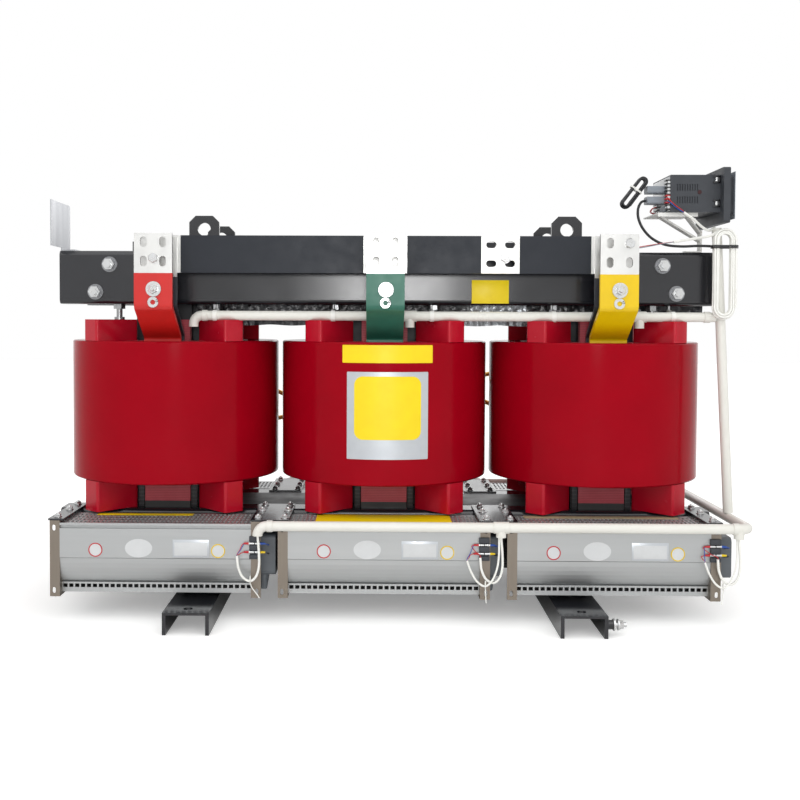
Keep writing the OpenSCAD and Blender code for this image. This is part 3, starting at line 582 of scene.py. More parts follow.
class Palette:
    """All finishes of the transformer, made once."""

    def __init__(self, layout: "Layout") -> None:
        """Makes the materials.

        Args:
            layout: The places that some finishes follow.
        """
        sleeve = dict(blotch=30 * MM, grain=3 * MM, relief=0.05 * MM, rough=(0.3, 0.42), specular=0.45,
                      bare_from=layout.sleeve_top)
        neutral_top = dict(sleeve, bare_from=layout.sleeve_top - 6 * MM)
        zones = tuple((x, layout.bar_w / 2 + 7 * MM) for x in layout.phases)
        finishes = {
            # Epoxy cast in a polished mould: deep red, wet gloss, faint waves in the reflections
            "resin": Finish("cast_epoxy_gloss_red", "red_resin", "#9c0418", "#8b0314", 90 * MM, 14 * MM,
                            0.05 * MM, (0.12, 0.2), specular=0.06),
            # Blocks of the same epoxy with a softer gloss; their brighter red is painted light, for the light
            # and highlights that the blocks catch more than the coils
            "block": Finish("epoxy_block_red_painted_lighter", "red_resin", "#bb0d27", "#a20a20", 60 * MM,
                            8 * MM, 0.08 * MM, (0.16, 0.28), specular=0.3),
            # Enamel sprayed on folded steel: near black with an orange-peel gloss
            "paint": Finish("sprayed_enamel_black", "black_paint", "#191a1e", "#202126", 120 * MM,
                            2.2 * MM, 0.05 * MM, (0.15, 0.23), specular=0.58, coat=0.1),
            # Bright zinc plating: pale metal with a faint yellow and blue cast
            "zinc": Finish("electroplated_zinc", "zinc", "#d6d6d3", "#bfc1c5", 8 * MM, 0.8 * MM,
                           0.02 * MM, (0.22, 0.36), metallic=1.0),
            # Lacquered silicon steel sheets in a stack; one line in the picture stands for several sheets
            "core": LayeredFinish("stacked_silicon_steel", "core_steel", "#3a3b3e", "#2c2d31", 60 * MM,
                                  2 * MM, 0.05 * MM, (0.4, 0.6), specular=0.4, line_colour="#17181a",
                                  pitch=3.2 * MM, direction="Y"),
            # Heat-shrink sleeve: slightly waxy plastic over flat copper, tinned metal where it is bare
            "red": BareTopBar("heat_shrink_red_on_tinned_copper", "red_sleeve", "#c9221e", "#b81c19",
                              **sleeve),
            "green": BareTopBar("heat_shrink_green_on_tinned_copper", "green_sleeve", "#2c6b59",
                                "#255c4c", **sleeve),
            "yellow": BareTopBar("heat_shrink_yellow_on_tinned_copper", "yellow_sleeve", "#e4c100",
                                 "#d6b200", **sleeve),
            "leads": BareTopBar("heat_shrink_charcoal_on_tinned_copper", "charcoal_sleeve", "#33363d",
                                "#2a2d33", **neutral_top),
            "neutral": BareZoneBar("heat_shrink_charcoal_on_neutral_bar", "charcoal_sleeve", "#2b2e34",
                                   "#24272d", 35 * MM, 3 * MM, 0.05 * MM, (0.3, 0.42), specular=0.2,
                                   zones=(*zones, (layout.pad_x, layout.bar_w / 2 + 1 * MM))),
            # Moulded polyester-resin post: brown-red, smooth, slightly glossy
            "post": Finish("moulded_post_resin", "post_resin", "#5e1a16", "#4c1310", 18 * MM, 1.2 * MM,
                           0.04 * MM, (0.25, 0.35), specular=0.45),
            # Drawn brass rod under clear lacquer
            "brass": Finish("drawn_brass", "link_metal", "#c79a52", "#a97c3a", 14 * MM, 1 * MM,
                            0.03 * MM, (0.25, 0.4), metallic=1.0),
            # Extruded aluminium, anodised: silky grey with fine lines along the extrusion
            "fan": Finish("anodised_aluminium_extrusion", "fan_aluminium", "#b6b8b8", "#a7a9aa", 50 * MM,
                          1.4 * MM, 0.03 * MM, (0.42, 0.52), metallic=0.9, stretch=(0.04, 1.0, 1.0)),
            # Stamped aluminium blades, plain rolled metal
            "blade": Finish("rolled_aluminium", "fan_aluminium", "#a9acac", "#8f9292", 20 * MM, 2 * MM,
                            0.03 * MM, (0.35, 0.5), metallic=1.0),
            # Stainless strip, brushed along its length: warm grey
            "stainless": Finish("brushed_stainless_strip", "stainless", "#8f867b", "#7b736a", 30 * MM,
                                1.2 * MM, 0.04 * MM, (0.35, 0.48), metallic=0.9,
                                stretch=(1.0, 1.0, 0.06)),
            # Motor housing, stoved satin grey paint
            "motor": Finish("stoved_satin_grey", "motor_grey", "#62676c", "#575c61", 25 * MM, 1.2 * MM,
                            0.05 * MM, (0.4, 0.5), specular=0.45),
            # Extruded PVC conduit: off-white, soft gloss, a little yellowed
            "pvc": Finish("extruded_pvc_white", "pvc_white", "#dfded8", "#d5d4cc", 70 * MM, 3 * MM,
                          0.04 * MM, (0.3, 0.4), specular=0.45),
            # Powder coated sheet: white with a fine orange peel
            "white": Finish("powder_coat_white", "bracket_white", "#e4e4e1", "#d9d9d6", 40 * MM,
                            1.6 * MM, 0.06 * MM, (0.4, 0.5), specular=0.45),
            # Rolled aluminium plate, plain mill finish
            "plate": Finish("rolled_aluminium_plate", "plate_metal", "#b4b5b8", "#a2a4a8", 40 * MM,
                            1.2 * MM, 0.03 * MM, (0.34, 0.46), metallic=0.9, stretch=(1.0, 1.0, 0.08)),
            # Moulded ABS with a spark-eroded texture: dark grey and dull
            "case": Finish("moulded_abs_charcoal", "case_grey", "#393c41", "#303338", 30 * MM, 0.9 * MM,
                           0.07 * MM, (0.48, 0.6), specular=0.4),
            "hood": Finish("moulded_polyamide_grey", "hood_grey", "#868c93", "#777d85", 20 * MM,
                           0.9 * MM, 0.06 * MM, (0.42, 0.55), specular=0.4),
            # Extruded cable sheaths: smooth soft plastic
            "black_cable": Finish("extruded_sheath_black", "cable_black", "#16171a", "#1d1e22", 20 * MM,
                                  1.5 * MM, 0.04 * MM, (0.35, 0.48), specular=0.45),
            "white_cable": Finish("extruded_sheath_white", "cable_white", "#eeeeea", "#e2e2dc", 25 * MM,
                                  1.5 * MM, 0.04 * MM, (0.38, 0.5), specular=0.45),
            # Small moulded and printed things
            "yellow_film": Finish("plain_yellow_film", "yellow_sleeve", "#f2d60c", "#e6c808", 30 * MM,
                                  2 * MM, 0.02 * MM, (0.3, 0.4), specular=0.4),
            "silver_film": Finish("plain_silver_film", "plate_metal", "#c3c7cb", "#b4b8bd", 30 * MM,
                                  1.2 * MM, 0.02 * MM, (0.3, 0.4), metallic=0.7),
            "red_wire": Finish("extruded_wire_red", "red_sleeve", "#c01822", "#a8121c", 10 * MM, 1 * MM,
                               0.02 * MM, (0.35, 0.45)),
            "blue_wire": Finish("extruded_wire_blue", "case_grey", "#1f4fa8", "#183f8c", 10 * MM, 1 * MM,
                                0.02 * MM, (0.35, 0.45)),
            # Zinc plated thread: fine dark lines across the plain stud, painted shade for the thread's
            # grooves
            "thread": LayeredFinish("rolled_thread_zinc_plated", "zinc", "#d2d2cf", "#bbbdc1", 8 * MM,
                                    0.8 * MM, 0.02 * MM, (0.25, 0.38), metallic=1.0,
                                    line_colour="#808184", pitch=2 * MM),
            # Upright thread on the pressure screws: its dark lines are painted shade for the grooves
            "screw": LayeredFinish("rolled_thread_upright", "zinc", "#b9b9b5", "#9fa2a8", 8 * MM,
                                   0.8 * MM, 0.02 * MM, (0.25, 0.38), metallic=1.0,
                                   line_colour="#6d6e70", pitch=2 * MM, direction="Z"),
            # Glass cloth laminate, sawn: pale red with cloth lines; near black at its foot, just above the
            # clamp, as painted shade
            "laminate": LayeredFinish("glass_laminate_edge", "dull_red", "#b73f4c", "#a3333f", 25 * MM,
                                      1.4 * MM, 0.06 * MM, (0.4, 0.55), line_colour="#8b2431",
                                      pitch=4 * MM, direction="Z", painted_shade_below=layout.low_z1 + 15 * MM),
            "yellow_wire": Finish("extruded_wire_yellow", "yellow_sleeve", "#e3c300", "#d0b000", 10 * MM,
                                  1 * MM, 0.02 * MM, (0.35, 0.45)),
            # Printed film left blank: white, faintly silky
            "white_film": Finish("plain_white_film", "bracket_white", "#cdcfd0", "#c2c4c5", 20 * MM,
                                 1 * MM, 0.02 * MM, (0.35, 0.45), specular=0.4),
            "beige_film": Finish("plain_beige_film", "bracket_white", "#a89c7d", "#978b6c", 20 * MM,
                                 1 * MM, 0.03 * MM, (0.4, 0.5), specular=0.4),
            # Sheet rubber pad: black, dull, with pale mould dust in its pores
            "rubber": LayeredFinish("moulded_rubber_pad", "cable_black", "#131315", "#2a2a2d", 6 * MM,
                                    1 * MM, 0.2 * MM, (0.45, 0.7), line_colour="#3a3b3e", pitch=9 * MM,
                                    direction="Z"),
            # Dark glassy red of the small lens on the controller's side
            "lens": Finish("moulded_lens_dark_red", "red_sleeve", "#38070d", "#2e060b", 6 * MM, 1 * MM,
                           0.02 * MM, (0.15, 0.25), specular=0.5),
            # Thin wrinkled film between yoke and clamp, partly standing for the shade in the gaps there as
            # painted shade; its lighter blotches are painted glints, and its folds catch real glints
            "black_shade_film": Finish("wrinkled_film_black_with_painted_shade", "black_paint", "#141519", "#34363b",
                                 9 * MM, 7 * MM, 1.6 * MM, (0.16, 0.32), specular=0.5),
            # The same film in silver, whose pale and near-black blotches are painted glints and painted shade
            "silver_glint_film": Finish("wrinkled_film_silver_with_painted_glints", "plate_metal", "#b4b8bc", "#2e3034",
                                11 * MM, 8 * MM, 1.6 * MM, (0.2, 0.34), metallic=0.6),
            # Smoked acrylic sheet: nearly black and mirror smooth
            "smoked": Finish("smoked_acrylic_sheet", "case_grey", "#1b1012", "#150c0e", 60 * MM, 6 * MM,
                             0.01 * MM, (0.06, 0.1), specular=0.5),
        }
        # Foil windings cast in resin: each coil's end shows the edges of its foil as rings
        for i, x in enumerate(layout.phases):
            finishes[f"foil_{i}"] = LayeredFinish(
                f"foil_winding_{i + 1}_cast_in_resin", "dull_red", "#ab2a38", "#93202d", 30 * MM, 2 * MM,
                0.08 * MM, (0.36, 0.5), line_colour="#7a1622", pitch=7 * MM, centre=(x, 0.0, 0.0))
        self.slots = {key: finish.slot for key, finish in finishes.items()}
        self.made = {key: finish.build() for key, finish in finishes.items()}


    def __getitem__(self, key: str) -> bpy.types.Material:
        """Gives a material by its short name."""
        return self.made[key]

    def piece(self, name: str, bm: bmesh.types.BMesh, key: str) -> None:
        """Finishes a piece in one of the materials.

        Args:
            name: Name of the piece.
            bm: The mesh in work.
            key: Short name of the material.
        """
        piece(name, bm, self.made[key])


class Layout:
    """Places that the pieces share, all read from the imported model."""

    # Words for the three coils and fans, from the left
    words = ("left", "middle", "right")
    pipe_r = 11 * MM
    # Width of a bracket's leg beside a fan, and how far right of it each fan's lead starts
    leg = 22 * MM
    lead_shifts = (-6 * MM, 22 * MM, 34 * MM)

    def __init__(self) -> None:
        """Reads the boxes of the nodes that other pieces follow."""
        red_low, red_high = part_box("red_busbar")
        green_low, green_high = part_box("green_busbar")
        self.mid_x = (green_low.x + green_high.x) / 2
        self.pitch = (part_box("yellow_busbar")[0].x - red_low.x) / 2
        self.phases = [self.mid_x + i * self.pitch for i in (-1, 0, 1)]
        self.bar_w = red_high.x - red_low.x
        self.bar_top = red_high.z
        self.bar_face = red_low.y
        self.sleeve_top = self.bar_top - 88 * MM
        self.pad_x = self.mid_x + self.pitch / 2 + 3 * MM
        clamp_low, clamp_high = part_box("upper_front_clamp")
        self.clamp_face, self.clamp_z0 = clamp_low.y, clamp_low.z
        self.clamp_right = clamp_high.x
        self.low_z1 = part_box("lower_front_clamp")[1].z
        coil_low, coil_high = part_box("middle_hv_coil")
        self.coil_z0, self.coil_z1 = coil_low.z, coil_high.z
        self.coil_r = -coil_low.y
        self.fans = [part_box(f"front_{word}_fan") for word in self.words]
        self.riser_low, self.riser_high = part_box("riser_conduit")
        self.case_low, self.case_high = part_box("controller_case")
        self.lower_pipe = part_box("lower_conduit")[0]

    def lead_start(self, i: int) -> Vector:
        """Gives the place where a fan's lead leaves the conduit.

        Args:
            i: Number of the fan, from the left.

        Returns:
            The place, one millimetre inside the fitting.
        """
        x = self.fans[i][1].x + self.leg + self.lead_shifts[i]
        return Vector((x, self.lower_pipe.y + self.pipe_r, self.lower_pipe.z + 1 * MM))

    def lead_end(self, i: int) -> Vector:
        """Gives the end of a fan's white sheath."""
        return self.lead_start(i) + in_mm(-45, 0, -46)

    def wide_end(self, i: int) -> Vector:
        """Gives the end of a fan's wider sheath, or of its only one."""
        return self.lead_start(i) + in_mm(-74, -4, -52) if i > 0 else self.lead_end(i)

    def lead_bottom(self, i: int) -> Vector:
        """Gives the lowest point of a fan's white sheath."""
        return self.lead_start(i) + (in_mm(-34, -5, -107) if i > 0 else in_mm(-16, 0, -101))


class Studio:
    """Camera, floor and soft light."""

    # Fitted to the photograph's converging edges: place in metres and angles in degrees
    eye = Vector((-0.0526, -2.5290, 0.6669))
    yaw = -0.846
    pitch = 1.814
    roll = 0.227
    focal_px = 1025.2
    centre_px = (358.8, 353.3)
    image_px = 800

    def camera(self) -> None:
        """Makes the camera at the photograph's place and framing."""
        a, b, c = (math.radians(v) for v in (self.yaw, self.pitch, self.roll))
        ahead = Vector((math.sin(a) * math.cos(b), math.cos(a) * math.cos(b), -math.sin(b)))
        level = Vector((math.cos(a), -math.sin(a), 0.0))
        above = level.cross(ahead)
        right = level * math.cos(c) + above * math.sin(c)
        up = above * math.cos(c) - level * math.sin(c)
        data = bpy.data.cameras.new("photo_camera")
        data.sensor_width = 36.0
        data.lens = self.focal_px * data.sensor_width / self.image_px
        data.shift_x = (self.image_px / 2 - self.centre_px[0]) / self.image_px
        data.shift_y = (self.centre_px[1] - self.image_px / 2) / self.image_px
        data.clip_end = 60.0
        made = bpy.data.objects.new("photo_camera", data)
        bpy.context.scene.collection.objects.link(made)
        turn = Matrix((right, up, -ahead)).transposed().to_4x4()
        made.matrix_world = Matrix.Translation(self.eye) @ turn
        bpy.context.scene.camera = made

    def floor(self) -> None:
        """Makes the plain pale floor."""
        bm = bmesh.new()
        bmesh.ops.create_grid(bm, x_segments=1, y_segments=1, size=14.0)
        mesh = bpy.data.meshes.new("floor")
        bm.to_mesh(mesh)
        bm.free()
        made = bpy.data.objects.new("floor", mesh)
        bpy.context.scene.collection.objects.link(made)
        material = bpy.data.materials.new("pale_floor")
        material.use_nodes = True
        tree = material.node_tree
        shader = tree.nodes["Principled BSDF"]
        shader.inputs["Base Color"].default_value = linear("#fbfbfa")
        shader.inputs["Roughness"].default_value = 0.9
        shader.inputs["Specular IOR Level"].default_value = 0.1
        # The eye sees the floor nearly as white as the surround, and the shadow stays on it
        shader.inputs["Emission Color"].default_value = (1.0, 1.0, 1.0, 1.0)
        path = add(tree, "ShaderNodeLightPath")
        lift = add(tree, "ShaderNodeMath", {"operation": "MULTIPLY", 1: 0.25},
                   {0: path.outputs["Is Camera Ray"]})
        tree.links.new(lift.outputs[0], shader.inputs["Emission Strength"])
        mesh.materials.append(material)

    def world(self) -> None:
        """Makes a white surround for the eye and for gloss, with weaker light on the object."""
        world = bpy.data.worlds.new("white_studio")
        bpy.context.scene.world = world
        world.use_nodes = True
        tree = world.node_tree
        tree.nodes.clear()
        path = add(tree, "ShaderNodeLightPath")
        seen = add(tree, "ShaderNodeMath", {"operation": "MAXIMUM"},
                   {0: path.outputs["Is Camera Ray"], 1: path.outputs["Is Glossy Ray"]})
        shown = add(tree, "ShaderNodeMath", {"operation": "MAXIMUM"},
                    {0: seen.outputs[0], 1: path.outputs["Is Transmission Ray"]})
        soft = add(tree, "ShaderNodeBackground", {"Color": (1.0, 1.0, 1.0, 1.0), "Strength": 0.55})
        white = add(tree, "ShaderNodeBackground", {"Color": (1.0, 1.0, 1.0, 1.0), "Strength": 1.0})
        mixed = add(tree, "ShaderNodeMixShader", {},
                    {0: shown.outputs[0], 1: soft.outputs[0], 2: white.outputs[0]})
        add(tree, "ShaderNodeOutputWorld", {}, {0: mixed.outputs[0]})

    def lamp(self, name: str, place: Point, aim: Point, size: float, power: float,
             mirrored: bool = True) -> None:
        """Makes one soft box.

        Args:
            name: Name of the lamp.
            place: Where it stands.
            aim: The point that it faces.
            size: Side of its square face.
            power: Its power in watts.
            mirrored: Whether gloss shows it.
        """
        data = bpy.data.lights.new(name, "AREA")
        data.size = size
        data.energy = power
        made = bpy.data.objects.new(name, data)
        bpy.context.scene.collection.objects.link(made)
        made.visible_glossy = mirrored
        away = Vector(place) - Vector(aim)
        made.matrix_world = Matrix.Translation(place) @ turn_to(away)

    def sky_light(self, name: str, towards: Point, strength: float) -> None:
        """Makes a very soft light that reaches the whole floor evenly.

        Args:
            name: Name of the light.
            towards: Direction from the object to the light.
            strength: Its strength.
        """
        data = bpy.data.lights.new(name, "SUN")
        data.energy = strength
        data.angle = math.radians(70.0)
        made = bpy.data.objects.new(name, data)
        bpy.context.scene.collection.objects.link(made)
        made.matrix_world = turn_to(Vector(towards))

    def build(self) -> None:
        """Makes the whole studio."""
        bpy.context.scene.view_settings.view_transform = "Standard"
        self.camera()
        self.floor()
        self.world()
        self.lamp("front_soft_box", (-1.2, -4.2, 2.6), (0.0, 0.0, 0.45), 2.4, 24.0, False)
        self.lamp("flash_box", (0.06, -4.2, 0.98), (0.0, 0.0, 0.78), 0.7, 22.0)
        self.lamp("right_soft_box", (3.4, -2.6, 2.2), (0.0, 0.0, 0.45), 1.8, 12.0)
        self.lamp("rear_soft_box", (0.8, 4.4, 2.4), (0.0, 0.0, 0.45), 2.4, 32.0)
        self.sky_light("left_front_light", (-0.45, -0.8, 1.0), 0.75)
        self.sky_light("right_front_light", (0.5, -0.6, 1.1), 0.65)


# Cords come first, because their room is part of the object's size

class Lay(Enum):
    """How a cord lies."""

    HANGING = "hanging"
    COILED = "coiled"


@dataclass
class Hank:
    """A folded bundle of spare cable: stadium-shaped turns, side by side and in layers.

    Args:
        centre: Middle of the bundle.
        tilt: Lean of the bundle to the right, in degrees.
        run: Length over its ends.
        width: Width over its sides.
        cable: Diameter of the cable.
        turns: Turns side by side in one layer.
        layers: Number of layers.
    """

    centre: Vector
    tilt: float
    run: float
    width: float
    cable: float
    turns: int
    layers: int

    def line(self) -> list[Vector]:
        """Works out the centreline of the turns.

        Returns:
            Points from the outer turn of the front layer to the last turn of the rear layer.
        """
        pitch = self.cable * 1.06
        outer = self.width / 2 - self.cable / 2
        half = self.run / 2 - self.width / 2
        place = Matrix.Translation(self.centre) @ Matrix.Rotation(math.radians(self.tilt), 4, "Y")
        line = []
        for layer in range(self.layers):
            for turn in range(self.turns):
                for x, z, share in self.turn_points(half):
                    # Each turn creeps one pitch inwards, or outwards in every second layer
                    done = turn + share
                    inward = done if layer % 2 == 0 else self.turns - done
                    radius = outer - min(inward, self.turns - 1) * pitch if self.turns > 1 else outer
                    # The last half turn of a layer sinks into the next one
                    last = layer == self.layers - 1
                    sink = 0.0 if last else max(0.0, min(1.0, (done - self.turns + 0.5) / 0.5))
                    depth = (layer + sink - (self.layers - 1) / 2) * pitch
                    line.append(place @ Vector((x * radius, depth, z[0] + z[1] * radius)))
        return line

    def turn_points(self, half: float) -> list[tuple[float, tuple[float, float], float]]:
        """Gives one turn as shares of its radius.

        Args:
            half: Half of the straight run.

        Returns:
            Sideways share, height as a fixed part and a share, and how far round the turn it is.
        """
        straight, bend = 5, 10
        angles = [math.pi * i / bend for i in range(bend)]
        points = [(1.0, (-half + 2 * half * i / straight, 0.0)) for i in range(straight)]
        points += [(math.cos(a), (half, math.sin(a))) for a in angles]
        points += [(-1.0, (half - 2 * half * i / straight, 0.0)) for i in range(straight)]
        points += [(-math.cos(a), (-half, -math.sin(a))) for a in angles]
        count = len(points)
        return [(x, z, i / count) for i, (x, z) in enumerate(points)]


class Cords:
    """Cables and their tied bundles, with routes in metres."""

    cable_d = 6 * MM
    lead_d = 5.5 * MM
    wide_d = 4.5 * MM
    sensor_d = 5 * MM
    alarm_d = 4.2 * MM

    def __init__(self, layout: Layout, palette: Palette) -> None:
        """Keeps what the cords follow.

        Args:
            layout: Shared places.
            palette: Finishes.
        """
        self.layout = layout
        self.palette = palette

    def cord(self, name: str, points: list[Point], width: float, key: str,
             nodes: tuple[str, ...], line: list[Vector] | None = None) -> None:
        """Args:
            name: Name of the piece.
            points: Its route.
            width: Its diameter.
            key: Its finish.
            nodes: The solids that it stands for.
            line: Its finished line, where the route isn't smoothed here.
        """
        centre = line or smooth_line(points, 4 * MM)
        made = tube_curve(name, centre, width)
        made.data.materials.append(self.palette[key])
        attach(made, "root")
        if nodes:
            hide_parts(*nodes)

    def supply(self) -> None:
        """Makes the black cable from the lower hood to the riser."""
        low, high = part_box("connector_hoods")
        x, y = low.x, (low.y + high.y) / 2
        z = self.layout.case_low.z + 29 * MM
        steps = [(0, 0, 0), (-10, 0, -3), (-17, 0, -18), (-16, 0, -40), (-5, 0, -64), (16, 0, -86),
                 (46, 0, -100), (82, -3, -104), (120, -8, -103), (149.0, -11, -104)]
        route = [(x + dx * MM, y + dy * MM, z + dz * MM) for dx, dy, dz in steps]
        self.cord("supply_cable_sheath", route, self.cable_d, "black_cable",
                  ("supply_cable",))

    def fan_lead(self, i: int) -> None:
        """Makes the white loop from the conduit's stub to a fan's terminals, and a wider one in front of it.

        Args:
            i: Number of the fan, from the left.
        """
        start = self.layout.lead_start(i)
        outer = [(0, -1), (1, -14), (3, -40), (3, -68), (-3, -90), (-16, -101), (-32, -93), (-42, -72),
                 (-45, -46)]
        wide = [(-4.5, 0, -1), (-4.5, -1, -14), (-5, -4, -40), (-9, -5.5, -68), (-19, -5.5, -94),
                (-34, -5.5, -107), (-51, -5.5, -98), (-65, -5.5, -76), (-74, -4, -52)]
        word = self.layout.words[i]
        route = [tuple(start + in_mm(dx, 0, dz)) for dx, dz in outer]
        self.cord(f"fan_lead_{word}", route, self.lead_d, "white_cable",
                  ("fan_leads",))
        if i > 0:
            route = [tuple(start + in_mm(*step)) for step in wide]
            self.cord(f"fan_lead_{word}_wide", route, self.wide_d, "white_cable", ())

    def sensor(self) -> None:
        """Makes the white hank of sensor cable beside the riser, and its tie."""
        low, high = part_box("sensor_hank")
        centre = (low + high) / 2
        hank = Hank(centre, 0.0, high.z - low.z, high.x - low.x, self.sensor_d, 3, 3)
        self.cord("sensor_cable_hank", [], self.sensor_d, "white_cable",
                  ("sensor_hank",), line=hank.line())
        bm = bmesh.new()
        # Three turns of the tie, a little above the middle and just over the cables
        over, rise, strap = 1.4 * MM, 0.28, 2.6 * MM
        half_w, half_t = (high.x - low.x) / 2 + over, (high.y - low.y) / 2 + over
        for turn in range(3):
            level = (high.z - low.z) * rise + turn * strap
            loop = [centre + point for point in tie_loop(half_w, half_t, level, 0.4, 15)]
            wire(bm, loop, 2.4 * MM, 4 * MM)
        self.palette.piece("sensor_hank_tie", bm, "black_cable")

    def alarm(self) -> None:
        """Makes the black hank at the upper hood, with its tie and sleeved ends."""
        low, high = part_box("alarm_hank")
        centre = (low + high) / 2
        lean = 37.0
        hank = Hank(centre, lean, 88 * MM, 26 * MM, self.alarm_d, 2, 4)
        self.cord("alarm_cable_hank", [], self.alarm_d, "black_cable", ("alarm_hank",),
                  line=hank.line())
        bm = bmesh.new()
        place = Matrix.Translation(centre) @ Matrix.Rotation(math.radians(lean), 4, "Y")
        for turn in range(2):
            loop = tie_loop(14 * MM, 10 * MM, (6 + turn * 2.2) * MM, 0.5, 20)
            wire(bm, [place @ point for point in loop], 2 * MM, 3 * MM)
        self.palette.piece("alarm_hank_tie", bm, "white_cable")

    def build(self) -> None:
        """Makes all cords."""
        self.supply()
        for i in range(3):
            self.fan_lead(i)
        self.sensor()
        self.alarm()


@dataclass
class Windings:
    """Finishes of the coils, the blank plates round the middle coil and the taps at the rear.

    Args:
        strip: Width and height of the yellow strip on the middle coil.
        plate: Width and height of the blank plate below it.
        field: Width and height of the rounded yellow field on the plate.
        film: Thickness of each.
        shift: Distance of their middle to the right of the coil's axis, along the surface.
    """

    layout: Layout
    palette: Palette
    strip: tuple[float, float] = (208 * MM, 40 * MM)
    plate: tuple[float, float] = (186 * MM, 196 * MM)
    field: tuple[float, float] = (152 * MM, 142 * MM)
    film: float = 0.6 * MM
    shift: float = 6.7 * MM

    def curved_plate(self, name: str, size: tuple[float, float], top: float, corner: float, key: str,
                     lift: float = 0.0) -> None:
        """Makes a thin plate with round corners that lies round the front of the middle coil.

        Args:
            name: Name of the piece.
            size: Width along the surface, and height.
            top: Height of its upper edge.
            corner: Radius of its corners.
            key: Its finish.
            lift: Extra distance from the coil, over another plate.
        """
        half_w, half_h = size[0] / 2, size[1] / 2
        bm = bmesh.new()
        outline = []
        corners, cuts = 32, 24
        for step in range(corners):
            cosine = math.cos(math.tau * (step + 0.5) / corners)
            sine = math.sin(math.tau * (step + 0.5) / corners)
            outline.append(bm.verts.new((math.copysign(half_w - corner, cosine) + corner * cosine, 0.0,
                                         math.copysign(half_h - corner, sine) + corner * sine)))
        bm.faces.new(outline)
        for cut in range(1, cuts):
            bmesh.ops.bisect_plane(bm, geom=[*bm.verts, *bm.edges, *bm.faces], dist=0.01 * MM,
                                   plane_co=(size[0] * (cut / cuts - 0.5), 0, 0), plane_no=RIGHT)
        made = bmesh.ops.extrude_face_region(bm, geom=list(bm.faces))
        for vert in [v for v in made["geom"] if isinstance(v, bmesh.types.BMVert)]:
            vert.co.y = -self.film
        radius = self.layout.coil_r + 0.2 * MM + lift
        for vert in bm.verts:
            angle = (vert.co.x + self.shift) / radius
            reach = radius - vert.co.y
            vert.co = Vector((self.layout.mid_x + math.sin(angle) * reach, -math.cos(angle) * reach,
                              top - half_h + vert.co.z))
        self.palette.piece(name, bm, key)

    def taps(self) -> None:
        """Makes the tap studs with their nuts and the closed link, on the board of each coil."""
        metal, nuts = bmesh.new(), bmesh.new()
        rear = -FRONT
        board = self.layout.coil_r + 16 * MM
        middle = (self.layout.coil_z0 + self.layout.coil_z1) / 2
        # Half the distance between the columns of studs, the distance between rows, the studs' diameter
        half_gap, row_gap, stud = 22 * MM, 38 * MM, 8 * MM
        link_back, link_face = board + 4 * MM, board + 7 * MM
        for x in self.layout.phases:
            for row in (-1, 0, 1):
                for side in (-1, 1):
                    seat = Vector((x + side * half_gap, board, middle + row * row_gap))
                    ring(metal, seat, rear, 24 * MM, stud, 4 * MM)
                    rod(metal, seat, seat + rear * 16 * MM, stud, 16)
            slab(metal, (x - 32 * MM, link_back, middle - 9 * MM), (x + 32 * MM, link_face, middle + 9 * MM),
                 0.8 * MM)
            for side in (-1, 1):
                bolt(nuts, Vector((x + side * half_gap, link_face, middle)), rear, 13 * MM, 6 * MM, 18 * MM)
        self.palette.piece("tap_studs_and_links", metal, "brass")
        self.palette.piece("tap_nuts", nuts, "zinc")

    def pads(self) -> None:
        """Makes the rubber pads that stand beside the boards, under the coils."""
        bm = bmesh.new()
        inner, outer, spread, half = 106 * MM, 126 * MM, 62 * MM, 7 * MM
        for x in self.layout.phases:
            for side in (-1, 1):
                near, far = sorted((side * inner, side * outer))
                for middle in (x - spread, x + spread):
                    slab(bm, (middle - half, near, self.layout.low_z1),
                         (middle + half, far, self.layout.coil_z0), 1.5 * MM)
        self.palette.piece("rubber_pads", bm, "rubber")

    def build(self) -> None:
        """Dresses the windings."""
        for i, word in enumerate(self.layout.words):
            dress(f"{word}_hv_coil", self.palette["resin"])
            dress(f"{word}_lv_coil", self.palette[f"foil_{i}"])
        dress("lower_blocks", self.palette["block"])
        dress("upper_blocks", self.palette["block"])
        dress("support_boards", self.palette["laminate"])
        dress("pressure_screws", self.palette["screw"])
        dress("delta_links", self.palette["brass"])
        # Each plate hangs so far below the coil's upper edge
        top = self.layout.coil_z1
        self.curved_plate("yellow_strip_film", self.strip, top - 6 * MM, 2 * MM, "yellow_film")
        self.curved_plate("blank_coil_plate", self.plate, top - 66 * MM, 2 * MM, "silver_film")
        self.curved_plate("blank_plate_field", self.field, top - 76 * MM, 20 * MM, "yellow_film", self.film)
        self.taps()
        self.pads()


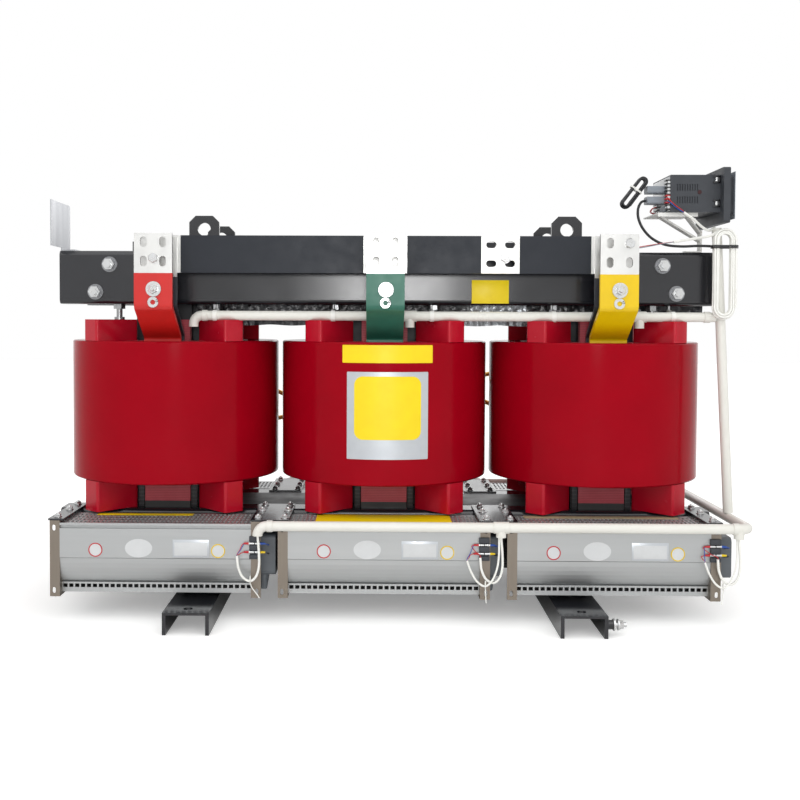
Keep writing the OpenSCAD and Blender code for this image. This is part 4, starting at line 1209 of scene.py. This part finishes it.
@dataclass
class SteelWork:
    """Core, clamps and feet with their fasteners, and the film between yoke and clamp, which is partly
    painted shade for the gaps there.

    Args:
        limb: Half the width of a limb.
        wrap: Half the distance between the two films under the yoke, and their height.
        hem: How far the film hangs below the front clamp.
        front: Depth at which it hangs.
        plate: Lower left and upper right corner of the blank plate on the clamp, in X and Z.
    """

    layout: Layout
    palette: Palette
    limb: float = 100 * MM
    wrap: tuple[float, float] = (70 * MM, 48 * MM)
    hem: float = 20 * MM
    front: float = -86 * MM
    plate: tuple[tuple[float, float], tuple[float, float]] = ((0.173, 0.7080), (0.2588, 0.7620))

    def sheet(self, bm: bmesh.types.BMesh, low: Point, high: Point, fold: float) -> None:
        """Makes a thin upright sheet along X with folds.

        Args:
            bm: The mesh that takes it.
            low: Its lower left end, at its middle depth.
            high: Its upper right end.
            fold: Depth of the folds.
        """
        width, height = high[0] - low[0], high[2] - low[2]
        columns, rows = round(width / (5 * MM)), 5
        grid = []
        for column in range(columns + 1):
            x = low[0] + width * column / columns
            line = []
            for row in range(rows + 1):
                # Two waves along the sheet, which fade towards its fixed upper edge, and a slow droop
                share = row / rows
                wave = math.sin(x * 330 + 3 * share) * 0.5 + math.sin(x * 141 - 4 * share) * 0.5
                droop = math.sin(x * 57) * 1.2 * MM * (1 - share)
                line.append(bm.verts.new((x, low[1] + fold * wave * (1 - 0.7 * share),
                                          low[2] + height * share + droop)))
            grid.append(line)
        faces = []
        for line, after in zip(grid, grid[1:]):
            for row in range(rows):
                faces.append(bm.faces.new((line[row], after[row], after[row + 1], line[row + 1])))
        made = bmesh.ops.extrude_face_region(bm, geom=faces)
        for vert in [v for v in made["geom"] if isinstance(v, bmesh.types.BMVert)]:
            vert.co.y += 0.6 * MM

    def films(self) -> None:
        """Makes the film that hangs below the front clamp, and before and behind the yoke's window; its
        near-black sheets are partly painted shade for these gaps, and its silver stretch carries painted
        glints.
        """
        clamp, phases = self.layout.clamp_z0, self.layout.phases
        depth, height = self.wrap
        right = self.layout.clamp_right - 4 * MM
        black, grey = bmesh.new(), bmesh.new()
        split = self.layout.mid_x + self.layout.pitch * 0.4
        far = self.layout.mid_x + self.layout.pitch * 0.66
        # The strip below the clamp is near black, partly painted shade, with a silver stretch of painted
        # glints
        for bm, x0, x1 in ((black, phases[0] + 60 * MM, split), (grey, split, far), (black, far, right)):
            self.sheet(bm, (x0, self.front, clamp - self.hem), (x1, self.front, clamp), 2 * MM)
        # The sheets before and behind the yoke's window darken it, partly as painted shade
        for bm, first in ((black, 0), (grey, 1)):
            x0, x1 = phases[first] + self.limb, phases[first + 1] - self.limb
            for side in (-1, 1):
                self.sheet(bm, (x0, side * depth, clamp - height), (x1, side * depth, clamp), 2.5 * MM)
        self.palette.piece("film_and_painted_shade_black", black, "black_shade_film")
        self.palette.piece("film_with_painted_glints_silver", grey, "silver_glint_film")

    def build(self) -> None:
        """Dresses the steel and adds the blank plate on the clamp."""
        for node in ("left_foot", "right_foot", "lower_front_clamp", "lower_rear_clamp",
                     "upper_front_clamp", "upper_rear_clamp", "lifting_lugs", "fan_arms"):
            dress(node, self.palette["paint"])
        dress("core", self.palette["core"])
        dress("tie_bolts", self.palette["thread"])
        dress("earthing_bolt", self.palette["zinc"])
        self.clamp_plate()
        self.films()

    def clamp_plate(self) -> None:
        """Makes the small blank yellow plate on the front clamp."""
        bm = bmesh.new()
        y = self.layout.clamp_face
        (x0, z0), (x1, z1) = self.plate
        slab(bm, (x0, y - 1.0 * MM, z0), (x1, y, z1), 0.4 * MM)
        self.palette.piece("blank_clamp_plate", bm, "yellow_film")


@dataclass
class Busbars:
    """Finishes of the low-voltage bars and their bolts.

    Args:
        across: Width across flats of the bar bolts.
        washer: Diameter of their washers.
    """

    layout: Layout
    palette: Palette
    across: float = 19 * MM
    washer: float = 34 * MM

    def build(self) -> None:
        """Dresses the bars and bolts them to their posts."""
        for key in ("red", "green", "yellow"):
            dress(f"{key}_busbar", self.palette[key])
        dress("neutral_leads", self.palette["leads"])
        dress("neutral_bar", self.palette["neutral"])
        dress("post_insulators", self.palette["post"])
        face, foot = self.layout.bar_face, self.layout.clamp_z0
        head = 9 * MM
        bm = bmesh.new()
        for x in self.layout.phases:
            seat = Vector((x + 1 * MM, face, foot + 31 * MM))
            bolt(bm, seat, FRONT, self.across, head, self.washer, 4 * MM)
            ring(bm, Vector((x, face, foot + 2 * MM)), FRONT, 24 * MM, 11 * MM, 2.5 * MM)
        # Bolts left in the slots of the outer bars, where the metal is bare, and in the neutral pad
        bare, slot_z = face + 1.2 * MM, self.layout.bar_top - 41 * MM
        left, _, right = self.layout.phases
        for x, z in ((left + 1 * MM, slot_z - 14 * MM), (right + 21 * MM, slot_z + 20 * MM)):
            bolt(bm, Vector((x, bare, z)), FRONT, self.across, head)
        pad = Vector((self.layout.pad_x + 10 * MM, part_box("neutral_bar")[0].y, slot_z - 8 * MM))
        bolt(bm, pad, FRONT, self.across, head, 26 * MM, 3 * MM)
        self.palette.piece("busbar_bolts", bm, "zinc")


@dataclass
class Fans:
    """Finishes of the cross-flow fans, their blank plates and the bolts of their arms.

    Args:
        film: Thickness of the blank plates.
        bolt_x: Middles of the arms.
        bolt_y: Distances of their bolts from the coils' plane.
    """

    layout: Layout
    palette: Palette
    film: float = 0.5 * MM
    bolt_x: tuple[float, ...] = (-0.7525, -0.3075, -0.2485, 0.1978, 0.2495, 0.6945)
    bolt_y: tuple[float, ...] = (0.275, 0.188, 0.120)

    def build(self) -> None:
        """Dresses the fans and adds their small parts."""
        for side in ("front", "rear"):
            for word in self.layout.words:
                dress(f"{side}_{word}_fan", self.palette["fan"])
            dress(f"{side}_fan_brackets", self.palette["stainless"])
        dress("fan_impellers", self.palette["blade"])
        dress("fan_motors", self.palette["motor"])
        self.arm_bolts()
        self.plates()
        self.covers()

    def arm_bolts(self) -> None:
        """Makes the bolts through the arms into clamps and brackets."""
        bm = bmesh.new()
        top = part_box("fan_arms")[1].z
        for x in self.bolt_x:
            for side in (-1, 1):
                for y in self.bolt_y:
                    bolt(bm, Vector((x, side * y, top)), UP, 12 * MM, 5 * MM, 18 * MM, 1 * MM)
        self.palette.piece("arm_bolts", bm, "zinc")

    def plates(self) -> None:
        """Makes the blank plates on the faces of the front fans."""
        whites, silvers, reds, yellows = bmesh.new(), bmesh.new(), bmesh.new(), bmesh.new()
        round_w, rim = 31 * MM, 26.5 * MM
        for low, _ in self.layout.fans:
            left, face = low.x - self.layout.leg, low.y
            for shift, z, bm in ((101, 162, reds), (371, 161, yellows)):
                centre = Vector((left + shift * MM, face, z * MM))
                disc(whites, centre, FRONT, round_w, round_w, self.film)
                ring(bm, centre, FRONT, round_w, rim, 2 * self.film, 48)
            disc(whites, Vector((left + 196 * MM, face, 166 * MM)), FRONT, 60 * MM, 41 * MM, self.film)
            middle = left + 311 * MM
            for bm, half, z0, z1, films in ((silvers, 40 * MM, 0.1465, 0.1855, 1),
                                            (whites, 36 * MM, 0.1505, 0.1795, 2)):
                slab(bm, (middle - half, face - films * self.film, z0), (middle + half, face, z1), 0.2 * MM)
        self.palette.piece("blank_white_plates", whites, "white_film")
        self.palette.piece("blank_data_plates", silvers, "silver_film")
        self.palette.piece("red_plate_rims", reds, "red_wire")
        self.palette.piece("yellow_plate_rims", yellows, "yellow_wire")

    def covers(self) -> None:
        """Makes the plain films that lie on the tops of the front fans."""
        top = self.layout.fans[0][1].z
        for name, key, x0, x1, y0, y1 in (("left_fan_film", "yellow_film", -684, -465, -207, -184),
                                          ("middle_fan_film", "yellow_film", -181, 122, -266, -184),
                                          ("right_fan_film", "beige_film", 290, 640, -212, -184)):
            bm = bmesh.new()
            slab(bm, (x0 * MM, y0 * MM, top), (x1 * MM, y1 * MM, top + self.film), 0.15 * MM)
            self.palette.piece(name, bm, key)


@dataclass
class FanWiring:
    """The terminal block on each fan's right bracket, with crimped wires into the white sheath.

    Args:
        block: Width and depth of the block.
        lands: Lower and upper edge of each raised land of the block, in millimetres.
        rows: Heights of the two rows of clamps.
        barrel: Diameter of the bright barrels and of the crimps.
        wire_d: Diameter of the thin wires.
    """

    layout: Layout
    palette: Palette
    block: tuple[float, float] = (23 * MM, 7 * MM)
    lands: tuple[tuple[float, float], ...] = ((145, 154), (164, 175.5), (183, 195))
    rows: tuple[float, float] = (179 * MM, 160 * MM)
    barrel: float = 5.6 * MM
    wire_d: float = 1.8 * MM

    def __post_init__(self) -> None:
        """Opens one mesh for each finish."""
        keys = ("case", "zinc", "red_wire", "blue_wire", "yellow_wire", "black_cable", "white_cable")
        self.meshes = {key: bmesh.new() for key in keys}

    def terminals(self, left: float, face: float, side: int) -> None:
        """Makes one block with its barrels and crimps.

        Args:
            left: Left edge of the block.
            face: The bracket's face.
            side: -1 for a front fan and 1 for a rear one.
        """
        width, depth = self.block
        right, thin = left + width, self.barrel * 0.7
        near, far = sorted((face, face + side * depth))
        for low, high in self.lands:
            slab(self.meshes["case"], (left, near, low * MM), (right, far, high * MM), 0.8 * MM)
        back = sorted((face, face + side * 2.5 * MM))
        slab(self.meshes["case"], (left + 1 * MM, back[0], self.lands[0][0] * MM),
             (right - 1 * MM, back[1], self.lands[-1][1] * MM))
        y = face + side * 4 * MM
        for z, right_key in zip(self.rows, ("blue_wire", "yellow_wire")):
            for key, x0, x1, first_d, last_d in (
                    ("zinc", left - 1 * MM, left + width * 0.46, self.barrel, self.barrel),
                    ("zinc", left + width * 0.54, right + 1 * MM, self.barrel, self.barrel),
                    ("red_wire", left - 12 * MM, left, thin, self.barrel),
                    (right_key, right, right + 12 * MM, self.barrel, thin)):
                rod(self.meshes[key], Vector((x0, y, z)), Vector((x1, y, z)), first_d, 16, last_d)

    def wires(self, left: float, face: float, side: int, ends: tuple[Vector, Vector]) -> None:
        """Makes the thin wires from the crimps to the sheaths' ends and to the motor.

        Args:
            left: Left edge of the block.
            face: The bracket's face.
            side: -1 for a front fan and 1 for a rear one.
            ends: The ends of the wide and of the short sheath.
        """
        y = face + side * 4 * MM
        right = left + self.block[0] + 11 * MM
        upper, lower = self.rows
        for key, start, bow, end in (("blue_wire", upper, 13, ends[0]), ("red_wire", lower, 19, ends[0]),
                                     ("red_wire", upper, 16, ends[1])):
            route = [(left - 11 * MM, y, start), (left - bow * MM, y, start - 3 * MM),
                     ((left - bow * MM + end.x) / 2, (y + end.y) / 2, (start + end.z) / 2 - 2 * MM),
                     tuple(end + UP * 4 * MM), tuple(end - UP * 3 * MM)]
            wire(self.meshes[key], route, self.wire_d)
        for key, start in (("blue_wire", upper), ("black_cable", lower)):
            steps = ((0, 0, 0), (8, 4, -3), (7, 16, -7), (2, 28, -9))
            route = [(right + dx * MM, y - side * dy * MM, start + dz * MM) for dx, dy, dz in steps]
            wire(self.meshes[key], route, self.wire_d)

    def tie(self, bottom: Vector, slant: float) -> None:
        """Makes the white strap round the loop's lowest point, with its tail.

        Args:
            bottom: The sheath's lowest point.
            slant: How far the tail's end lies to the right.
        """
        loop = [(bottom.x, bottom.y + 4.4 * MM * math.cos(a), bottom.z + 3 * MM + 8 * MM * math.sin(a))
                for a in [math.radians(d) for d in range(0, 361, 30)]]
        wire(self.meshes["white_cable"], loop, 2.2 * MM, 2 * MM)
        # Share of the slant, and how far in front of and below the lowest point
        steps = ((0.0, 2, 4), (0.2, 0, 15), (0.7, 0, 28), (1.0, 0, 37))
        tail = [(bottom.x + slant * share, bottom.y - near * MM, bottom.z - drop * MM)
                for share, near, drop in steps]
        wire(self.meshes["white_cable"], tail, 2.4 * MM)

    def build(self) -> None:
        """Wires all six fans; only the front ones have the white sheath."""
        for i, (low, high) in enumerate(self.layout.fans):
            left = high.x - 3 * MM
            ends = (self.layout.wide_end(i), self.layout.lead_end(i))
            for side in (-1, 1):
                self.terminals(left, side * abs(low.y), side)
            self.wires(left, low.y, -1, ends)
            self.tie(self.layout.lead_bottom(i), (20 * MM, 2 * MM, -3 * MM)[i])
        names = ("blocks", "barrels", "red_wires", "blue_wires", "yellow_wires", "black_wires", "ties")
        for (key, bm), name in zip(self.meshes.items(), names):
            self.palette.piece(f"fan_terminal_{name}", bm, key)


@dataclass
class Conduits:
    """Finishes of the conduits, with their sockets and the clips that hold the upper one.

    Args:
        outer: Diameter over a socket.
        bore: Inner diameter of the sockets, a little under the pipe's own.
        tees: Middles of the upper conduit's tees.
        clip_x: Middles of its clips.
    """

    layout: Layout
    palette: Palette
    outer: float = 25.5 * MM
    bore: float = 21.6 * MM
    tees: tuple[float, float] = (0.029, 0.554)
    clip_x: tuple[float, ...] = (-0.4186, -0.1471, 0.0799, 0.3587, 0.6300)

    def socket(self, bm: bmesh.types.BMesh, x: float, y: float, z: float, length: float) -> None:
        """Makes one socket along X.

        Args:
            bm: The mesh that takes it.
            x: Its left end.
            y: Depth of the pipe's axis.
            z: Height of the pipe's axis.
            length: Its length.
        """
        ring(bm, Vector((x, y, z)), RIGHT, self.outer, self.bore, length)

    def build(self) -> None:
        """Dresses the conduits and adds their fittings."""
        for node in ("upper_conduit", "riser_conduit", "lower_conduit"):
            dress(node, self.palette["pvc"])
        bm = bmesh.new()
        # The lower conduit's box starts at its stubs, 10 mm below the pipe
        y = self.layout.lower_pipe.y + self.layout.pipe_r
        z = self.layout.lower_pipe.z + 10 * MM + self.layout.pipe_r
        # Fan whose lead is near, distance from that lead to the socket's left end, and its length
        near_leads = ((0, 20 * MM, 13 * MM), (1, -17 * MM, 34 * MM), (2, -14 * MM, 14 * MM))
        for side in (-1, 1):
            for i, shift, length in near_leads:
                self.socket(bm, self.layout.lead_start(i).x + shift, side * y, z, length)
        low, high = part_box("upper_conduit")
        y, z = (low.y + high.y) / 2, high.z - self.layout.pipe_r
        # One socket beside the left bend, one over each tee and one before the riser's bend
        self.socket(bm, low.x + 31 * MM, y, z, 12 * MM)
        for x in self.tees:
            self.socket(bm, x - 16 * MM, y, z, 32 * MM)
        self.socket(bm, high.x - 26 * MM, y, z, 14 * MM)
        self.palette.piece("conduit_sockets", bm, "pvc")
        self.clips(y, z)

    def clips(self, y: float, z: float) -> None:
        """Makes the saddle clips with their screws up into the clamp.

        Args:
            y: Depth of the upper conduit's axis.
            z: Height of its axis.
        """
        saddles, screws = bmesh.new(), bmesh.new()
        half, tongue = 5 * MM, z + 11 * MM
        for x in self.clip_x:
            ring(saddles, Vector((x - half, y, z)), RIGHT, 25 * MM, self.bore, 2 * half)
            slab(saddles, (x - half, y + 8 * MM, z + 9.5 * MM), (x + half, y + 40 * MM, tongue), 0.4 * MM)
            seat = Vector((x, y + 32 * MM, tongue))
            rod(screws, seat, Vector((x, seat.y, self.layout.clamp_z0)), 6 * MM, 16)
            bolt(screws, seat, UP, 10 * MM, 5 * MM, 14 * MM)
        self.palette.piece("conduit_clips", saddles, "white_cable")
        self.palette.piece("clip_screws", screws, "screw")


@dataclass
class Controller:
    """Finishes and small parts of the temperature controller on its bracket.

    Args:
        layout: Shared places.
        palette: Finishes.
    """

    layout: Layout
    palette: Palette

    def __post_init__(self) -> None:
        """Opens one mesh for each finish, and reads the case's sides."""
        self.names = {"black_cable": "ribs", "white_film": "boards", "red_wire": "red_parts",
                      "blue_wire": "blue_wires", "zinc": "screws", "lens": "lens", "hood": "covers",
                      "white_cable": "sleeves", "yellow_wire": "yellow_parts", "smoked": "window"}
        self.meshes = {key: bmesh.new() for key in self.names}
        self.face = self.layout.case_low.y
        self.left = self.layout.case_low.x
        self.base = self.layout.case_low.z

    def spot(self, x: float, y: float, z: float) -> Point:
        """Gives a place by its millimetres right of, behind and above the case's near lower left corner."""
        return (self.left + x * MM, self.face + y * MM, self.base + z * MM)

    def strip(self, near: float, low: float, ways: int, pitch: float, key: str, depth: float) -> None:
        """Makes an upright row of terminals on the case's end; all measures are in millimetres.

        Args:
            near: Distance of the row from the case's near side.
            low: Height of its lower edge.
            ways: Number of terminals.
            pitch: Distance between them.
            key: Finish of the ribs between them.
            depth: Width of the row along Y.
        """
        far = near + depth
        slab(self.meshes["white_film"], self.spot(-6, near, low), self.spot(0, far, low + ways * pitch),
             0.5 * MM)
        for way in range(ways + 1):
            rib = low + way * pitch - 1.4
            slab(self.meshes[key], self.spot(-10, near - 0.6, rib), self.spot(0, far + 0.6, rib + 2.8),
                 0.3 * MM)
        for way in range(ways):
            middle = Vector(self.spot(-6, near + depth / 2, low + (way + 0.5) * pitch))
            rod(self.meshes["zinc"], middle, middle - RIGHT * 1.8 * MM, pitch * MM * 0.55, 16)

    def end_face(self) -> None:
        """Makes the pale board and the terminal rows on the case's end."""
        board_end = (self.left, -0.056, self.base + 81 * MM)
        slab(self.meshes["white_film"], self.spot(-1.5, 5, 3), board_end, 0.3 * MM)
        self.strip(2, 40, 4, 8, "black_cable", 14)
        self.strip(2, 22, 2, 8, "red_wire", 14)
        self.strip(2, 7, 1, 9, "black_cable", 14)
        self.strip(70, 5, 3, 7, "black_cable", 34)
        slab(self.meshes["hood"], self.spot(-7, 20, 4), self.spot(-1, 62, 17), 1 * MM)
        steps = ((-6, 78, 20), (-16, 82, 18), (-20, 88, 10), (-12, 92, 6), (-4, 94, 8))
        for shift in (0, 9):
            route = [self.spot(x, y + shift, z) for x, y, z in steps]
            wire(self.meshes["red_wire"], route, 2 * MM)

    def side_face(self) -> None:
        """Makes the lens on the side that the camera sees, and two spring clips on each side."""
        disc(self.meshes["lens"], Vector(self.spot(65, 0, 45)), FRONT, 9 * MM, 9 * MM, 1.2 * MM, 32)
        right = self.layout.case_high.x
        # Finish, distances of left and right edge from the case's front, lower and upper edge, and bevel
        bars = (("black_cable", 17, 1, 0, 4, 0.6), ("black_cable", 17, 1, 13, 17, 0.6),
                ("black_cable", 5, 1, 0, 17, 0.6), ("zinc", 12, 5, 4, 13, 0.8))
        for side in (-1, 1):
            face = self.face if side < 0 else self.layout.case_high.y
            near, far = sorted((face, face + side * 3 * MM))
            for level in (11, 65):
                bottom = self.base + level * MM
                for key, x0, x1, z0, z1, bevel in bars:
                    slab(self.meshes[key], (right - x0 * MM, near, bottom + z0 * MM),
                         (right - x1 * MM, far, bottom + z1 * MM), bevel * MM)

    def front_panel(self) -> None:
        """Makes the plain window, keys and lamps on the front, which the photo hides."""
        low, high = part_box("controller_bezel")
        x, middle, inset = high.x, (low.y + high.y) / 2, 9 * MM
        panel = x + 0.6 * MM
        slab(self.meshes["hood"], (x - 0.5 * MM, low.y + inset, low.z + inset),
             (panel, high.y - inset, high.z - inset), 0.3 * MM)
        slab(self.meshes["smoked"], (x, middle - 66 * MM, high.z - 66 * MM),
             (x + 1.4 * MM, middle + 30 * MM, high.z - 20 * MM), 0.4 * MM)
        for row, key in enumerate(("red_wire", "yellow_wire", "lens", "lens")):
            lamp = Vector((panel, middle + 52 * MM, high.z - (27 + row * 11) * MM))
            disc(self.meshes[key], lamp, RIGHT, 5 * MM, 5 * MM, 1 * MM, 24)
        for number in range(5):
            button = Vector((panel, middle + (number - 2) * 28 * MM, low.z + 29 * MM))
            disc(self.meshes["black_cable"], button, RIGHT, 14 * MM, 14 * MM, 1.2 * MM, 32)

    def wiring(self) -> None:
        """Makes the short fixed wires between the case, the clamp and the riser."""
        thin = 2.2 * MM
        low, high = self.layout.riser_low, self.layout.riser_high
        top = Vector((low.x + self.layout.pipe_r, (low.y + high.y) / 2, high.z))
        for key, shift in (("red_wire", 0.0), ("lens", 2.2), ("blue_wire", 4.2)):
            steps = ((-7, 8, 36 - shift * 3), (-3, -3, 27 - shift), (10, -4, 15 - shift),
                     (26, -4, 3 - shift * 0.5), (34, -3.5, -4))
            wire(self.meshes[key], [self.spot(*step) for step in steps], thin)
        sleeve = [self.spot(*step) for step in ((29, -4, -1), (50, -2, -15), (74, 6, -33), (92, 14, -40))]
        sleeve.append((top.x - 4 * MM, top.y, top.z + 1 * MM))
        wire(self.meshes["white_cable"], sleeve, 6 * MM)
        # Two wires and their sleeve along the bracket, whose places were read from the photo
        for key, shift in (("red_wire", 0.0), ("hood", 2.4 * MM)):
            route = [(0.498, -0.140, 0.8292), (0.522, -0.158 - shift, 0.833),
                     (0.556, -0.174 - shift, 0.8385 - shift), (0.596, -0.176 - shift, 0.8450 - shift * 0.6),
                     (0.634, -0.176 - shift * 0.3, 0.850)]
            wire(self.meshes[key], route, thin)
        lower = [(0.629, -0.177, 0.8488), (0.652, -0.178, 0.8530), (0.680, -0.180, 0.8575),
                 (0.706, -0.1885, 0.8620), (0.722, -0.1890, 0.8700)]
        wire(self.meshes["white_cable"], lower, 7 * MM)

    def build(self) -> None:
        """Dresses the controller."""
        for node, key in (("nameplate_bracket", "plate"), ("controller_bracket", "white"),
                          ("controller_case", "case"), ("controller_bezel", "case"),
                          ("connector_hoods", "hood")):
            dress(node, self.palette[key])
        self.end_face()
        self.side_face()
        self.front_panel()
        self.wiring()
        for key, name in self.names.items():
            self.palette.piece(f"controller_{name}", self.meshes[key], key)


def main() -> None:
    """Builds the studio, the cords and every sub-assembly in order."""
    Studio().build()
    layout = Layout()
    palette = Palette(layout)
    Cords(layout, palette).build()
    SteelWork(layout, palette).build()
    Windings(layout, palette).build()
    Busbars(layout, palette).build()
    Fans(layout, palette).build()
    FanWiring(layout, palette).build()
    Conduits(layout, palette).build()
    Controller(layout, palette).build()


if __name__ == "__main__":
    main()
